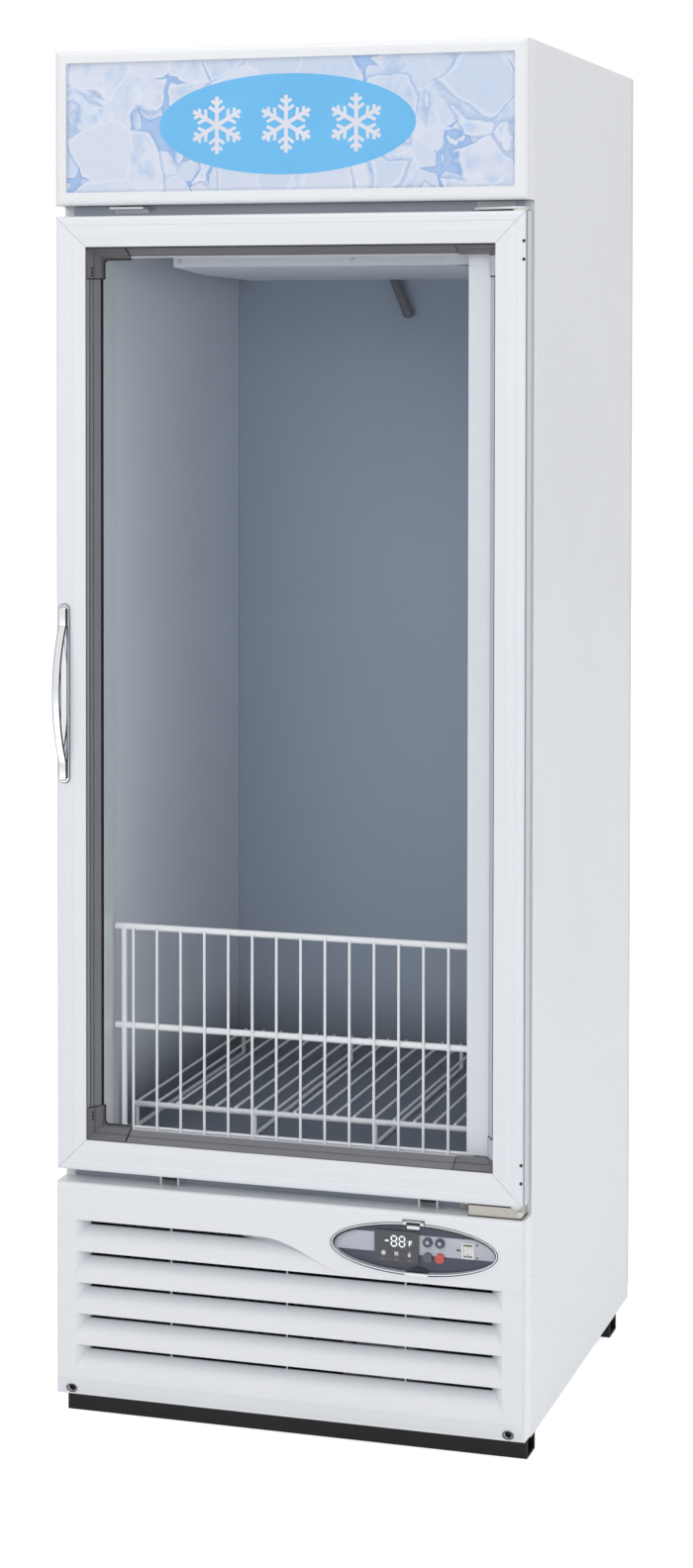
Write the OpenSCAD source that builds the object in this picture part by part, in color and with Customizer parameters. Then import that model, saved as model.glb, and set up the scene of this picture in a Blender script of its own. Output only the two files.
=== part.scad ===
// Upright ice merchandiser freezer with one glass door, a lit sign header,
// a louvred machine panel and an oval control window.
// X runs across the front, Y runs from the front to the back, Z is up.
// The origin lies on the floor, under the middle of the whole object.

/* [Cabinet] */
// Width of the cabinet
cab_w = 686; // [620:1:760]
// Depth from the door's front face to the back
cab_d = 742; // [700:1:820]
// Height from the floor to the top
cab_h = 1956; // [1900:1:2050]
// Thickness of the insulated side, top and back walls, skins included
wall_t = 56; // [50:1:70]
// Thickness of the painted outer sheets
skin = 1; // [0.8:0.1:1.5]
// Thickness of the inner liner
liner_t = 1; // [0.8:0.1:1.5]
// Depth of the door, header and grille in front of the cabinet's face
face_d = 44; // [42:1:50]
// Width of the folded edges of the side panels
fold_w = 14; // [10:1:18]
// Height of the machine compartment's ceiling
deck_z = 333; // [320:1:340]
// Height of the storage floor
floor_z = 390; // [385:1:400]
// Step from the storage floor up to the sill
sill_step = 15; // [8:1:20]
// Depth of the sill behind the cabinet's face
sill_d = 42; // [38:1:50]
// Gap between the header and the top of the door opening
opening_drop = 37; // [30:1:50]

/* [Base] */
// Height of the two base rails
rail_h = 28; // [20:1:40]
// Depth of each base rail
rail_d = 48; // [40:1:60]
// Wall of the base rails' box section
rail_wall = 2.5; // [2:0.5:4]
// Distance of the front rail behind the door's front face
rail_front = 40; // [30:1:60]
// Distance of the rear rail in front of the back
rail_rear = 76; // [60:1:100]
// Thickness of the base pan
pan_t = 2; // [1.5:0.5:3]

/* [Header] */
// Height of the header
header_h = 219; // [190:1:240]
// Margin between the header's edge and the sign at the sides
sign_side = 17.5; // [14:0.5:24]
// Margin under and over the sign
sign_edge = 17.5; // [14:0.5:24]
// Wall of the moulded header frame
header_wall = 3; // [2:0.5:4]
// Radius of the header's front edges
header_r = 9; // [4:1:12]
// Thickness of the sign
sign_t = 3; // [2:0.5:4]

/* [Door] */
// Gap between the header and the door
door_gap_top = 15; // [12:1:20]
// Gap between the door and the grille panel
door_gap_bottom = 18.5; // [16:0.5:24]
// Inset of the door from the cabinet's sides
door_inset = 2; // [1:0.5:5]
// Face width of the door frame
frame_w = 43.5; // [36:0.5:50]
// Depth of the door frame without its gasket
frame_d = 38; // [33:1:40]
// Thickness of the outer and the inner pane
pane_t = 4; // [3:0.5:5]
// Thickness of the middle pane
mid_pane_t = 3; // [3:0.5:4]
// Width of the glass edge that the frame covers
glass_cover = 13; // [10:1:15]
// Width of the grey spacer that shows inside the frame
spacer_show = 13; // [10:1:18]
// Radius of the hinge pins
pin_r = 5; // [4:0.5:6]
// Distance of the hinge axis from the door's outer edge
pin_edge = 11; // [10:0.5:16]
// Depth of the hinge axis behind the door's front face
pin_d = 14; // [12:1:18]
// Running clearance of the hinge pins in their bushes
pin_gap = 0.05; // [0.02:0.01:0.09]

/* [Handle] */
// Length of the handle's base plate
handle_l = 255; // [200:5:320]
// Width of the handle
handle_w = 15; // [12:1:20]
// How far the grip stands out from the door
handle_out = 36; // [30:1:50]
// Thickness of the grip
grip_t = 6; // [5:0.5:9]
// Height of the handle's middle above the floor
handle_z = 1043; // [950:1:1150]

/* [Grille panel] */
// Height of the grille panel's top edge
panel_z1 = 341; // [330:1:345]
// Height of the grille panel's bottom edge
panel_z0 = 34; // [33:1:45]
// Wall of the moulded panel
panel_wall = 3; // [2:0.5:4]
// Distance between one louvre and the next
louvre_pitch = 45; // [40:1:48]
// Height of the air slot above each louvre
slot_h = 8; // [5:0.5:10]
// Depth of the louvres
louvre_d = 14; // [10:1:18]
// Width of the flat border beside the louvres
louvre_side = 31; // [25:1:40]
// Number of louvres
louvres = 5; // [4:1:5]
// Length of the short top slot
short_slot = 228; // [150:1:250]

/* [Control] */
// Width of the oval control window
oval_w = 240; // [220:1:250]
// Height of the oval control window
oval_h = 74; // [66:1:80]
// Middle of the oval to the right of the cabinet's middle
oval_x = 187; // [170:1:200]
// Height of the oval's middle above the floor
oval_z = 290; // [285:1:293]
// Travel of the push buttons
button_travel = 1.5; // [1:0.5:2]
// Radius of the push buttons
button_r = 6.5; // [5:0.5:7.5]

/* [Interior] */
// Height of the wire guard
guard_h = 297; // [220:1:340]
// Number of thin upright wires in the guard
guard_wires = 15; // [11:2:19]
// Radius of the guard's thick wires
guard_r = 4.7; // [3:0.1:5]
// Radius of the thin wires
wire_r = 2; // [1.2:0.1:2.4]
// Height of the floor rack
rack_h = 43; // [35:1:60]
// Number of wires across the floor rack
rack_wires = 19; // [15:2:25]
// Distance of the evaporator cover behind the door's front face
cover_d = 120; // [116:1:150]
// Height of the evaporator cover, from its front edge to the ceiling
cover_h = 247; // [230:1:260]
// Fall of the evaporator cover towards the back
cover_fall = 9; // [6:1:16]
// Width of the lamp at the right of the opening
lamp_w = 38; // [26:1:44]
// Thickness of the lamp
lamp_d = 16; // [12:1:20]

/* [Hidden] */

eps = 0.01;
half_w = cab_w / 2;
front_y = (handle_out - cab_d) / 2;  // where the door's front face lies
in_w = cab_w - 2 * wall_t;  // clear width inside
sill_z = floor_z + sill_step;
header_z0 = cab_h - header_h;
open_z1 = header_z0 - opening_drop;  // top of the door opening
ceiling_z = cab_h - wall_t - liner_t;
back_in = cab_d - wall_t - liner_t;
cover_z = ceiling_z - cover_h;
front_in = face_d + wall_t + liner_t;
sill_back = face_d + sill_d;
pan_top = rail_h + pan_t;

door_z0 = panel_z1 + door_gap_bottom;
door_z1 = header_z0 - door_gap_top;
door_w = cab_w - 2 * door_inset;
door_h = door_z1 - door_z0;
door_mid_z = (door_z0 + door_z1) / 2;
pin_x = door_w / 2 - pin_edge;
bush_r = pin_r + 3;
bush_l = 14;
corner_solid = 60;  // length of the solid corner in each frame bar

glass_d0 = 5;  // front of the outer pane
spacer_d0 = glass_d0 + pane_t;
back_lip = 2;
glass_d1 = frame_d - back_lip;  // back of the inner pane
spacer_d1 = glass_d1 - pane_t;
mid_d = (spacer_d0 + spacer_d1 - mid_pane_t) / 2;
glass_u = frame_w - glass_cover;  // edge of the panes from the door's edge
gasket_w = 16;
gasket_u = pin_edge + 3;
gasket_gap = 0.3;
key_w = 57;
key_h = 44;
key_proud = 1.5;

white = [0.93, 0.94, 0.95];
liner_white = [0.86, 0.89, 0.92];
spacer_grey = [0.44, 0.44, 0.46];
black = [0.05, 0.05, 0.06];
steel = [0.72, 0.72, 0.73];
copper = [0.72, 0.43, 0.28];
glass = [0.80, 0.90, 0.93, 0.3];

// Everything is drawn from the door's front face backwards and then set in place.
module placed() translate([0, front_y, 0]) children();

// A box given by its lowest and highest corner.
module block(a, b) translate(a) cube(b - a);

// A prism along X over points given as depth and height.
module along_x(length, points)
  translate([-length / 2, 0, 0]) rotate([90, 0, 90]) linear_extrude(length) polygon(points);

// A prism from front to back over points given as X and height.
module along_y(d0, d1, points)
  translate([0, d1, 0]) rotate([90, 0, 0]) linear_extrude(d1 - d0) polygon(points);

// A round bar from front to back.
module bar_y(x, z, d0, d1, r) translate([x, d1, z]) rotate([90, 0, 0]) cylinder(r = r, h = d1 - d0, $fn = 48);

// A round bar along X.
module bar_x(d, z, x0, x1, r) translate([x0, d, z]) rotate([0, 90, 0]) cylinder(r = r, h = x1 - x0, $fn = 32);

// A round upright bar.
module bar_z(x, d, z0, z1, r) translate([x, d, z0]) cylinder(r = r, h = z1 - z0, $fn = 32);

function ellipse(w, h, n = 72) = [for (i = [0:n - 1]) [w / 2 * cos(360 * i / n), h / 2 * sin(360 * i / n)]];
function shifted(points, x, z) = [for (p = points) [p[0] + x, p[1] + z]];

// ---------------------------------------------------------------- cabinet

module side_panel() color(white) {
  block([half_w - skin, face_d, pan_top], [half_w, cab_d, cab_h]);
  block([half_w - fold_w, face_d, pan_top], [half_w, face_d + skin, cab_h - skin]);
  block([half_w - fold_w, cab_d - skin, pan_top], [half_w, cab_d, cab_h]);
  block([half_w - fold_w, face_d, pan_top], [half_w, cab_d, pan_top + skin]);
}

module top_panel() color(white)
  block([skin - half_w, face_d, cab_h - skin], [half_w - skin, cab_d - skin, cab_h]);

module back_panel() color(white)
  block([skin - half_w, cab_d - 2 * skin, deck_z + skin], [half_w - skin, cab_d - skin, cab_h - skin]);

module face_frame() color(white) difference() {
  block([fold_w - half_w, face_d, deck_z], [half_w - fold_w, face_d + skin, cab_h - skin]);
  block([-in_w / 2, face_d - 1, sill_z], [in_w / 2, face_d + 2, open_z1]);
}

// Section of the storage space, grown outwards into the wall by o.
function storage_section(o) = [
  [face_d - 1, sill_z - o], [sill_back - o, sill_z - o], [sill_back - o, floor_z - o],
  [back_in + o, floor_z - o], [back_in + o, ceiling_z + o], [front_in - o, ceiling_z + o],
  [front_in - o, open_z1 + o], [face_d - 1, open_z1 + o]];

module foam_insulation() color([0.93, 0.88, 0.68]) difference() {
  block([skin - half_w, face_d + skin, deck_z + skin],
    [half_w - skin, cab_d - 2 * skin, cab_h - skin]);
  along_x(in_w + 2 * liner_t, storage_section(liner_t));
  wall_passages();
}

module inner_liner() color(liner_white) difference() {
  intersection() {
    along_x(in_w + 2 * liner_t, storage_section(liner_t));
    block([-half_w, face_d + skin, 0], [half_w, cab_d, cab_h]);
  }
  along_x(in_w, storage_section(0));
  wall_passages();
}

// Plastic trim that lines the sides and the top of the door opening.
trim_t = 1.5;
trim_d = 54;
module breaker_trim() color(white) difference() {
  block([-in_w / 2, face_d, sill_z], [in_w / 2, face_d + trim_d, open_z1]);
  block([trim_t - in_w / 2, face_d - 1, sill_z - 1], [in_w / 2 - trim_t, face_d + trim_d + 1, open_z1 - trim_t]);
}

module sill_plate() color(steel) {
  block([trim_t - in_w / 2, face_d, sill_z], [in_w / 2 - trim_t, sill_back + sill_t, sill_z + sill_t]);
  block([trim_t - in_w / 2, sill_back, floor_z], [in_w / 2 - trim_t, sill_back + sill_t, sill_z + sill_t]);
}
sill_t = 1.5;

module deck_panel() color(steel) difference() {
  block([skin - half_w, face_d + skin, deck_z], [half_w - skin, cab_d - skin, deck_z + skin]);
  wall_passages();
}

// Base pan with two upright tabs that take the grille panel's screws.
module base_pan() color(steel) {
  block([rail_inset - half_w, tab_d, rail_h], [half_w - rail_inset, cab_d - 2, pan_top]);
  for (x = [-1, 1]) block([x * screw_x - 8, tab_d, rail_h], [x * screw_x + 8, tab_d + pan_t, screw_z + 8]);
}

rail_inset = 4;
module base_rail(d) difference() {
  block([rail_inset - half_w, d, 0], [half_w - rail_inset, d + rail_d, rail_h]);
  block([-half_w, d + rail_wall, rail_wall], [half_w, d + rail_d - rail_wall, rail_h - rail_wall]);
}

module base_rails() color(black) {
  base_rail(rail_front);
  base_rail(cab_d - rail_rear - rail_d);
}

vent_rows = 9;
vent_cols = 3;
vent_w = 140;
vent_gap = 50;
vent_pitch = 24;
gland_x = half_w - 43;
gland_z = pan_top + 36;
gland_r = 11;
gland_bore = 6;
// Rear cover with rows of vents and the gland of the supply lead.
module rear_vent_panel() color(white) difference() {
  union() {
    block([skin - half_w, cab_d - 2 * skin, pan_top + skin], [half_w - skin, cab_d - skin, deck_z]);
    bar_y(gland_x, gland_z, cab_d - 8, cab_d, gland_r);
  }
  bar_y(gland_x, gland_z, cab_d - 9, cab_d + 1, gland_bore);
  for (row = [0:vent_rows - 1], col = [0:vent_cols - 1]) {
    x = (col - (vent_cols - 1) / 2) * (vent_w + vent_gap);
    z = pan_top + 60 + row * vent_pitch;
    block([x - vent_w / 2, cab_d - 3 * skin, z], [x + vent_w / 2, cab_d, z + 8]);
  }
}

// ---------------------------------------------------------------- header

// A moulded front piece: its top and side edges, and the bottom one if asked, are rounded.
round_steps = 6;
function quarter(r, a0) = [for (i = [0:round_steps]) [r * cos(a0 + 90 * i / round_steps), r * sin(a0 + 90 * i / round_steps)]];
function moved(points, d, z) = [for (p = points) [p[0] + d, p[1] + z]];
module rounded_front(z0, z1, depth, r, bottom_r) intersection() {
  along_x(cab_w, concat(moved(quarter(r, 90), r, z1 - r), moved(quarter(bottom_r, 180), bottom_r, z0 + bottom_r),
    [[depth, z0], [depth, z1]]));
  translate([0, 0, z0]) linear_extrude(z1 - z0) polygon(concat([[half_w, depth], [-half_w, depth]],
    moved(quarter(r, 180), r - half_w, r), moved(quarter(r, 270), half_w - r, r)));
}

sign_d = 4;
sign_lap = 6;
module header_frame() color(white) difference() {
  rounded_front(header_z0, cab_h, face_d, header_r, header_r);
  block([-half_w + sign_side, -1, header_z0 + sign_edge], [half_w - sign_side, face_d, cab_h - sign_edge]);
  block([-half_w + header_wall, sign_d, header_z0 + header_wall],
    [half_w - header_wall, face_d + 1, cab_h - header_wall]);
}

module sign_panel() color([0.62, 0.78, 0.93])
  block([-half_w + sign_side - sign_lap, sign_d, header_z0 + sign_edge - sign_lap],
    [half_w - sign_side + sign_lap, sign_d + sign_t, cab_h - sign_edge + sign_lap]);

// Folded reflector tray behind the sign: its back lies on the cabinet's face, its edge holds the sign.
tray_t = 1;
module header_light_tray() color([0.9, 0.9, 0.9]) difference() {
  block([-half_w + sign_side - sign_lap, sign_d + sign_t, header_z0 + sign_edge - sign_lap],
    [half_w - sign_side + sign_lap, face_d, cab_h - sign_edge + sign_lap]);
  block([-half_w + sign_side - sign_lap + tray_t, sign_d, header_z0 + sign_edge - sign_lap + tray_t],
    [half_w - sign_side + sign_lap - tray_t, face_d - tray_t, cab_h - sign_edge + sign_lap - tray_t]);
}

// Two lamp tubes across the header, each in a pair of lamp holders.
header_lamp_r = 8;
header_lamp_half = half_w - 63;
holder_w = 12;
module header_lamps() color([0.97, 0.98, 1]) for (z = [header_z0 + 68, cab_h - 68]) {
  bar_x(face_d - 18, z, -header_lamp_half, header_lamp_half, header_lamp_r);
  for (x = [-header_lamp_half - holder_w, header_lamp_half])
    block([x, face_d - 30, z - holder_w], [x + holder_w, face_d - tray_t, z + holder_w]);
}

// ---------------------------------------------------------------- door

// Section of the door frame: distance from the outer edge, then depth.
frame_section = [
  [0, frame_d], [0, 4], [1, 1.6], [3, 0.3], [5, 0], [12, 0], [13.5, 1.2], [15, 1],
  [frame_w - 17, 1], [frame_w - 4, 3.4], [frame_w - 1, 3.6], [frame_w, 4.4], [frame_w, glass_d0],
  [glass_u, glass_d0], [glass_u, glass_d1], [frame_w + 4, glass_d1], [frame_w + 4, frame_d]];

// A frame bar lying along X with mitred ends, its outer edge at Z 0 and its body above.
module mitred_bar(length, section, reach) intersection() {
  translate([-length / 2, 0, 0]) rotate([90, 0, 90]) linear_extrude(length)
    polygon([for (p = section) [p[1], p[0]]]);
  along_y(-1, frame_d + 10,
    [[-length / 2, 0], [length / 2, 0], [length / 2 - reach, reach], [reach - length / 2, reach]]);
}

frame_wall = 3;
module frame_bar(length) difference() {
  mitred_bar(length, frame_section, frame_w + 4);
  block([corner_solid - length / 2, frame_wall, frame_wall],
    [length / 2 - corner_solid, frame_d - frame_wall, glass_u - frame_wall]);
}

// Turns a bar that was drawn along the bottom onto one of the door's four sides.
module on_bottom() translate([0, 0, door_z0]) children();
module on_top() translate([0, 0, door_z1]) mirror([0, 0, 1]) children();
module on_left() translate([-door_w / 2, 0, door_mid_z]) rotate([0, 90, 0]) children();
module on_right() translate([door_w / 2, 0, door_mid_z]) rotate([0, -90, 0]) children();

module hinge_holes() {
  bar_z(pin_x, pin_d, door_z0 - 1, door_z0 + bush_l, bush_r);
  bar_z(pin_x, pin_d, door_z1 - bush_l, door_z1 + 1, bush_r);
}

module door_stile_handle() color(white) on_left() frame_bar(door_h);

module door_stile_hinge() color(white) difference() {
  on_right() frame_bar(door_h);
  hinge_holes();
  bar_z(pin_x, pin_d, door_z0 + bush_l - 1, door_z0 + corner_solid + 1, rod_r);
}

module door_rail_top() color(white) difference() {
  on_top() frame_bar(door_w);
  hinge_holes();
}

module door_rail_bottom() color(white) difference() {
  on_bottom() frame_bar(door_w);
  hinge_holes();
  bar_z(pin_x, pin_d, door_z0 + bush_l - 1, door_z0 + corner_solid + 1, rod_r);
}

module pane(edge, d, t) color(glass)
  block([edge - door_w / 2, d, door_z0 + edge], [door_w / 2 - edge, d + t, door_z1 - edge]);

module glass_outer() pane(glass_u, glass_d0, pane_t);
module glass_inner() pane(glass_u, spacer_d1, pane_t);
module glass_middle() pane(glass_u, mid_d, mid_pane_t);

// Section of one spacer between two panes; its inner face leans inwards towards the back.
function spacer_lean(d) = frame_w + spacer_show * (d - spacer_d0) / (spacer_d1 - spacer_d0);
function spacer_section(d0, d1, proud) = [
  [glass_u, d0], [glass_u, d1], [spacer_lean(d1) + proud, d1], [spacer_lean(d0) + proud, d0]];

module spacer_ring(proud) for (gap = [[spacer_d0, mid_d], [mid_d + mid_pane_t, spacer_d1]]) {
  for (side = [0, 1]) {
    mirror_z(side) on_bottom() mitred_bar(door_w, spacer_section(gap[0], gap[1], proud), 90);
    mirror_x(side) on_left() mitred_bar(door_h, spacer_section(gap[0], gap[1], proud), 90);
  }
}
module mirror_z(on) translate([0, 0, on * 2 * door_mid_z]) mirror([0, 0, on]) children();
module mirror_x(on) mirror([on, 0, 0]) children();

module key_zones() for (x = [0, 1], z = [0, 1]) mirror_x(x) mirror_z(z)
  block([-door_w / 2, 0, door_z0], [key_w + frame_w - door_w / 2, frame_d, door_z0 + frame_w + key_h]);

module spacer_bars() color(spacer_grey) difference() {
  spacer_ring(0);
  key_zones();
}

module spacer_corner_keys() color([0.38, 0.38, 0.40]) intersection() {
  spacer_ring(key_proud);
  key_zones();
}

gasket_section = [
  [gasket_u, frame_d], [gasket_u, frame_d + 3], [gasket_u + 2, frame_d + 3],
  [gasket_u + 2, face_d - gasket_gap], [gasket_u + gasket_w - 2, face_d - gasket_gap],
  [gasket_u + gasket_w - 2, frame_d + 3], [gasket_u + gasket_w, frame_d + 3], [gasket_u + gasket_w, frame_d]];
module door_gasket() color([0.75, 0.76, 0.78]) for (side = [0, 1]) {
  mirror_z(side) on_bottom() mitred_bar(door_w, gasket_section, 60);
  mirror_x(side) on_left() mitred_bar(door_h, gasket_section, 60);
}

// ---------------------------------------------------------------- handle

handle_x = -door_w / 2 + 12.5;
base_t = 2;
grip_w = handle_w - 3;
grip_chord = handle_l - 36;
grip_rise = handle_out - base_t;
grip_arc_r = (pow(grip_chord / 2, 2) + pow(grip_rise, 2)) / (2 * grip_rise);
grip_half = asin(grip_chord / 2 / grip_arc_r);
foot_l = 26;

module handle_base() color(steel) translate([handle_x, 0, handle_z]) rotate([90, 0, 0]) linear_extrude(base_t) union() {
  square([handle_w, handle_l - handle_w], center = true);
  for (z = [-1, 1]) translate([0, z * (handle_l - handle_w) / 2]) circle(d = handle_w, $fn = 48);
}

// Bowed grip: an arc of flat bar that ends in two feet on the base plate.
module handle_grip() color(steel) difference() {
  union() {
    translate([handle_x + grip_w / 2, grip_arc_r - handle_out, handle_z]) rotate([0, -90, 0])
      rotate([0, 0, 270 - grip_half]) rotate_extrude(angle = 2 * grip_half, $fn = 180)
        translate([grip_arc_r - grip_t, 0]) square([grip_t, grip_w]);
    for (z = [-1, 1])
      block([handle_x - grip_w / 2, -base_t - 7, handle_z + z * (grip_chord / 2) - foot_l / 2],
        [handle_x + grip_w / 2, -base_t, handle_z + z * (grip_chord / 2) + foot_l / 2]);
  }
  block([handle_x - handle_w, -base_t, handle_z - handle_l], [handle_x + handle_w, 60, handle_z + handle_l]);
}

// ---------------------------------------------------------------- hinges

rod_r = 3;
rod_l = 620;
bush_flange = 2.5;
module bush() difference() {
  union() {
    cylinder(r = bush_r, h = bush_l, $fn = 48);
    translate([0, 0, -bush_flange]) cylinder(r = bush_r + 2, h = bush_flange, $fn = 48);
  }
  translate([0, 0, -bush_flange - 1]) cylinder(r = pin_r + pin_gap, h = bush_l + bush_flange - 2, $fn = 48);
}

module hinge_bushes() color([0.9, 0.9, 0.88]) {
  translate([pin_x, pin_d, door_z0]) bush();
  translate([pin_x, pin_d, door_z1]) mirror([0, 0, 1]) bush();
}

// Rod inside the hinge stile whose twist closes the door; its head is held in the stile.
module closer_torsion_rod() color(steel) {
  bar_z(pin_x, pin_d, door_z0 + bush_l, door_z0 + rod_l, rod_r);
  block([door_w / 2 - glass_u + frame_wall, frame_wall, door_z0 + rod_l],
    [door_w / 2 - frame_wall, frame_d - frame_wall, door_z0 + rod_l + 24]);
}

hinge_l = 74;
plate_t = 3;
hinge_x1 = half_w - 6;
pin_l = 10.5;  // length of each pin inside its bush
hinge_gap = 0.5;
module hinge_top() color(white) {
  z = door_z1 + bush_flange + hinge_gap;
  hinge_arm(z, z + plate_t);
  block([hinge_x1 - hinge_l, face_d - plate_t, z], [hinge_x1 - 20, face_d, header_z0 - 0.5]);
  bar_z(pin_x, pin_d, door_z1 - pin_l, z + eps, pin_r);
}

// Arm from the cabinet's face out to the pin.
module hinge_arm(z0, z1) translate([0, 0, z0]) linear_extrude(z1 - z0) {
  polygon([[hinge_x1 - hinge_l, face_d], [hinge_x1, face_d], [hinge_x1, pin_d],
    [pin_x - bush_r, pin_d - bush_r], [hinge_x1 - hinge_l, face_d - 16]]);
  translate([pin_x, pin_d]) circle(r = hinge_x1 - pin_x, $fn = 48);
}

block_d = 8;
ear_w = 20;
module hinge_bottom() color([0.80, 0.78, 0.74]) {
  z0 = panel_z1 + 1;
  z1 = door_z0 - bush_flange - hinge_gap;
  difference() {
    block([hinge_x1 - hinge_l, block_d, z0], [hinge_x1, face_d, z1]);
    block([hinge_x1 - hinge_l + plate_t, block_d + plate_t, z0 - 1], [pin_x - 12, face_d - plate_t, z1 - plate_t]);
  }
  difference() {
    block([hinge_x1 - hinge_l - ear_w, face_d - plate_t, z0], [hinge_x1 - hinge_l, face_d, z1]);
    bar_y(hinge_x1 - hinge_l - ear_w / 2, (panel_z1 + door_z0 - bush_flange) / 2, face_d - 9, face_d + 1, 4.5 * 0.42);
  }
  bar_z(pin_x, pin_d, z1 - eps, door_z0 + pin_l, pin_r);
}

// Unused bracket over the handle side, for a door hung the other way.
bracket_x0 = 78 - half_w;
bracket_x1 = bracket_x0 + 50;
module blank_bracket() color(white) {
  z = door_z1 + 10;
  block([bracket_x0, face_d - 28, z], [bracket_x1, face_d, z + plate_t]);
  block([bracket_x0, face_d - plate_t, z - 5], [bracket_x1, face_d, z]);
}

module pan_head(r, h) difference() {
  intersection() {
    cylinder(r = r, h = h, $fn = 32);
    translate([0, 0, h - r * 1.5]) sphere(r = r * 1.5, $fn = 48);
  }
  for (a = [0, 90]) rotate(a) translate([-r * 0.6, -0.5, h - 1]) cube([r * 1.2, 1, 2]);
}

// A screw whose head lies at depth d and faces the front.
module screw_y(x, d, z, r, shank) translate([x, d, z]) rotate([90, 0, 0]) {
  pan_head(r, 2.5);
  translate([0, 0, -shank]) cylinder(r = r * 0.42, h = shank, $fn = 24);
}

module fixing_screws() color(steel) {
  screw_y(hinge_x1 - hinge_l - ear_w / 2, face_d - plate_t, (panel_z1 + door_z0 - bush_flange) / 2, 4.5, plate_t);
  for (s = [-1, 1]) screw_y(s * screw_x, screw_d, screw_z, screw_head_r, tab_d - screw_d);
}

// ---------------------------------------------------------------- grille panel

slot_z0 = panel_z1 - 57.4;  // middle of the top slot
louvre_w = cab_w - 2 * louvre_side;  // louvres at their crests
cheek = louvre_side * 0.58;  // how far the end cheeks lean in
lip_h = 3;
scoop_h = louvre_pitch - slot_h - lip_h;
scoop_steps = 8;
fascia_step = 1.5;
fascia_left_z = slot_z0 + slot_h / 2 + 0.5;
fascia_right_z = fascia_left_z - louvre_pitch;
short_x1 = short_slot - louvre_w / 2 + cheek;
swoop_x0 = short_x1 + 30;
swoop_x1 = oval_x - oval_w * 0.32;
bevel_z = panel_z0 + 25;
panel_r = 7;
louvre_z0 = slot_z0 - louvres * louvre_pitch + slot_h / 2;  // bottom of the lowest louvre
rib_x = [-172, 0, 172];
rib_w = 2;
screw_x = half_w - 23;
screw_z = panel_z0 + 9;
screw_head_r = 4.7;
screw_shank_r = screw_head_r * 0.42;
screw_d = 10;
tab_d = face_d + 2;

// Section of one louvre under a slot whose middle is at height 0: a concave scoop and a lip.
function scoop(t) = fascia_step + (louvre_d - fascia_step) * (1 - sin(90 * t));
function scoop_line(o) = [for (i = [0:scoop_steps])
  [scoop(i / scoop_steps) + o, -slot_h / 2 - scoop_h * i / scoop_steps]];
function backwards(points) = [for (i = [len(points) - 1:-1:0]) points[i]];
louvre_section = concat(scoop_line(0),
  [[fascia_step, slot_h / 2 - louvre_pitch], [fascia_step + panel_wall, slot_h / 2 - louvre_pitch]],
  backwards(scoop_line(panel_wall)));

// Lower edge of the smooth fascia: level, then a soft S down to the next louvre, then level.
swoop_steps = 16;
fascia_edge = [for (i = [0:swoop_steps]) let (t = i / swoop_steps)
  [swoop_x0 + (swoop_x1 - swoop_x0) * t,
   fascia_left_z + (fascia_right_z - fascia_left_z) * (1 - cos(180 * t)) / 2]];
module fascia() along_y(0, panel_wall, concat(
  [[-half_w, panel_z1], [-half_w, fascia_left_z]], fascia_edge,
  [[half_w, fascia_right_z], [half_w, panel_z1]]));

// Funnel that bounds a group of louvres: wide at the front, narrow at the back, grown sideways by o.
module funnel(x1_front, x1_back, z0, z1, o) translate([0, 0, z0]) linear_extrude(z1 - z0) polygon([
  [-louvre_w / 2 - o, fascia_step], [x1_front + o, fascia_step],
  [x1_back + o, louvre_d + panel_wall], [cheek - louvre_w / 2 - o, louvre_d + panel_wall]]);

// Louvres from one index to another with the leaning cheeks that close their ends.
module louvre_group(first, last, x1_front, x1_back) {
  z1 = slot_z0 - first * louvre_pitch + slot_h / 2;
  z0 = slot_z0 - last * louvre_pitch + slot_h / 2 - louvre_pitch;
  intersection() {
    for (i = [first:last]) translate([0, 0, slot_z0 - i * louvre_pitch]) along_x(cab_w, louvre_section);
    funnel(x1_front, x1_back, z0, z1, panel_wall);
  }
  difference() {
    funnel(x1_front, x1_back, z0, z1, panel_wall);
    funnel(x1_front, x1_back, z0 - 1, z1 + 1, 0);
  }
}

module panel_borders() {
  d1 = fascia_step + panel_wall;
  for (s = [0, 1]) mirror_x(s) block([louvre_w / 2, fascia_step, bevel_z], [half_w, d1, panel_z1]);
  block([-half_w, fascia_step, bevel_z], [half_w, d1, louvre_z0]);
  along_x(cab_w, [[fascia_step, bevel_z], [d1, bevel_z], [7 + panel_wall, panel_z0], [7, panel_z0]]);
}

// Side, top and bottom returns that carry the panel on the cabinet's face.
module panel_returns() difference() {
  block([-half_w, 0, panel_z0], [half_w, face_d, panel_z1]);
  block([panel_wall - half_w, -1, panel_z0 + panel_wall], [half_w - panel_wall, face_d + 1, panel_z1 - panel_wall]);
  along_x(cab_w + 2, [[-1, panel_z0 - 1], [-1, bevel_z], [fascia_step, bevel_z], [7, panel_z0], [7, panel_z0 - 1]]);
  block([-half_w - 1, -1, bevel_z - 1], [half_w + 1, fascia_step, fascia_right_z]);
}

clip_w = 26;
module panel_clips() for (x = [163 - half_w, half_w - 143])
  block([x - clip_w / 2, face_d - 14, panel_z1 - 1], [x + clip_w / 2, face_d - 9, panel_z1 + 7]);

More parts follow.
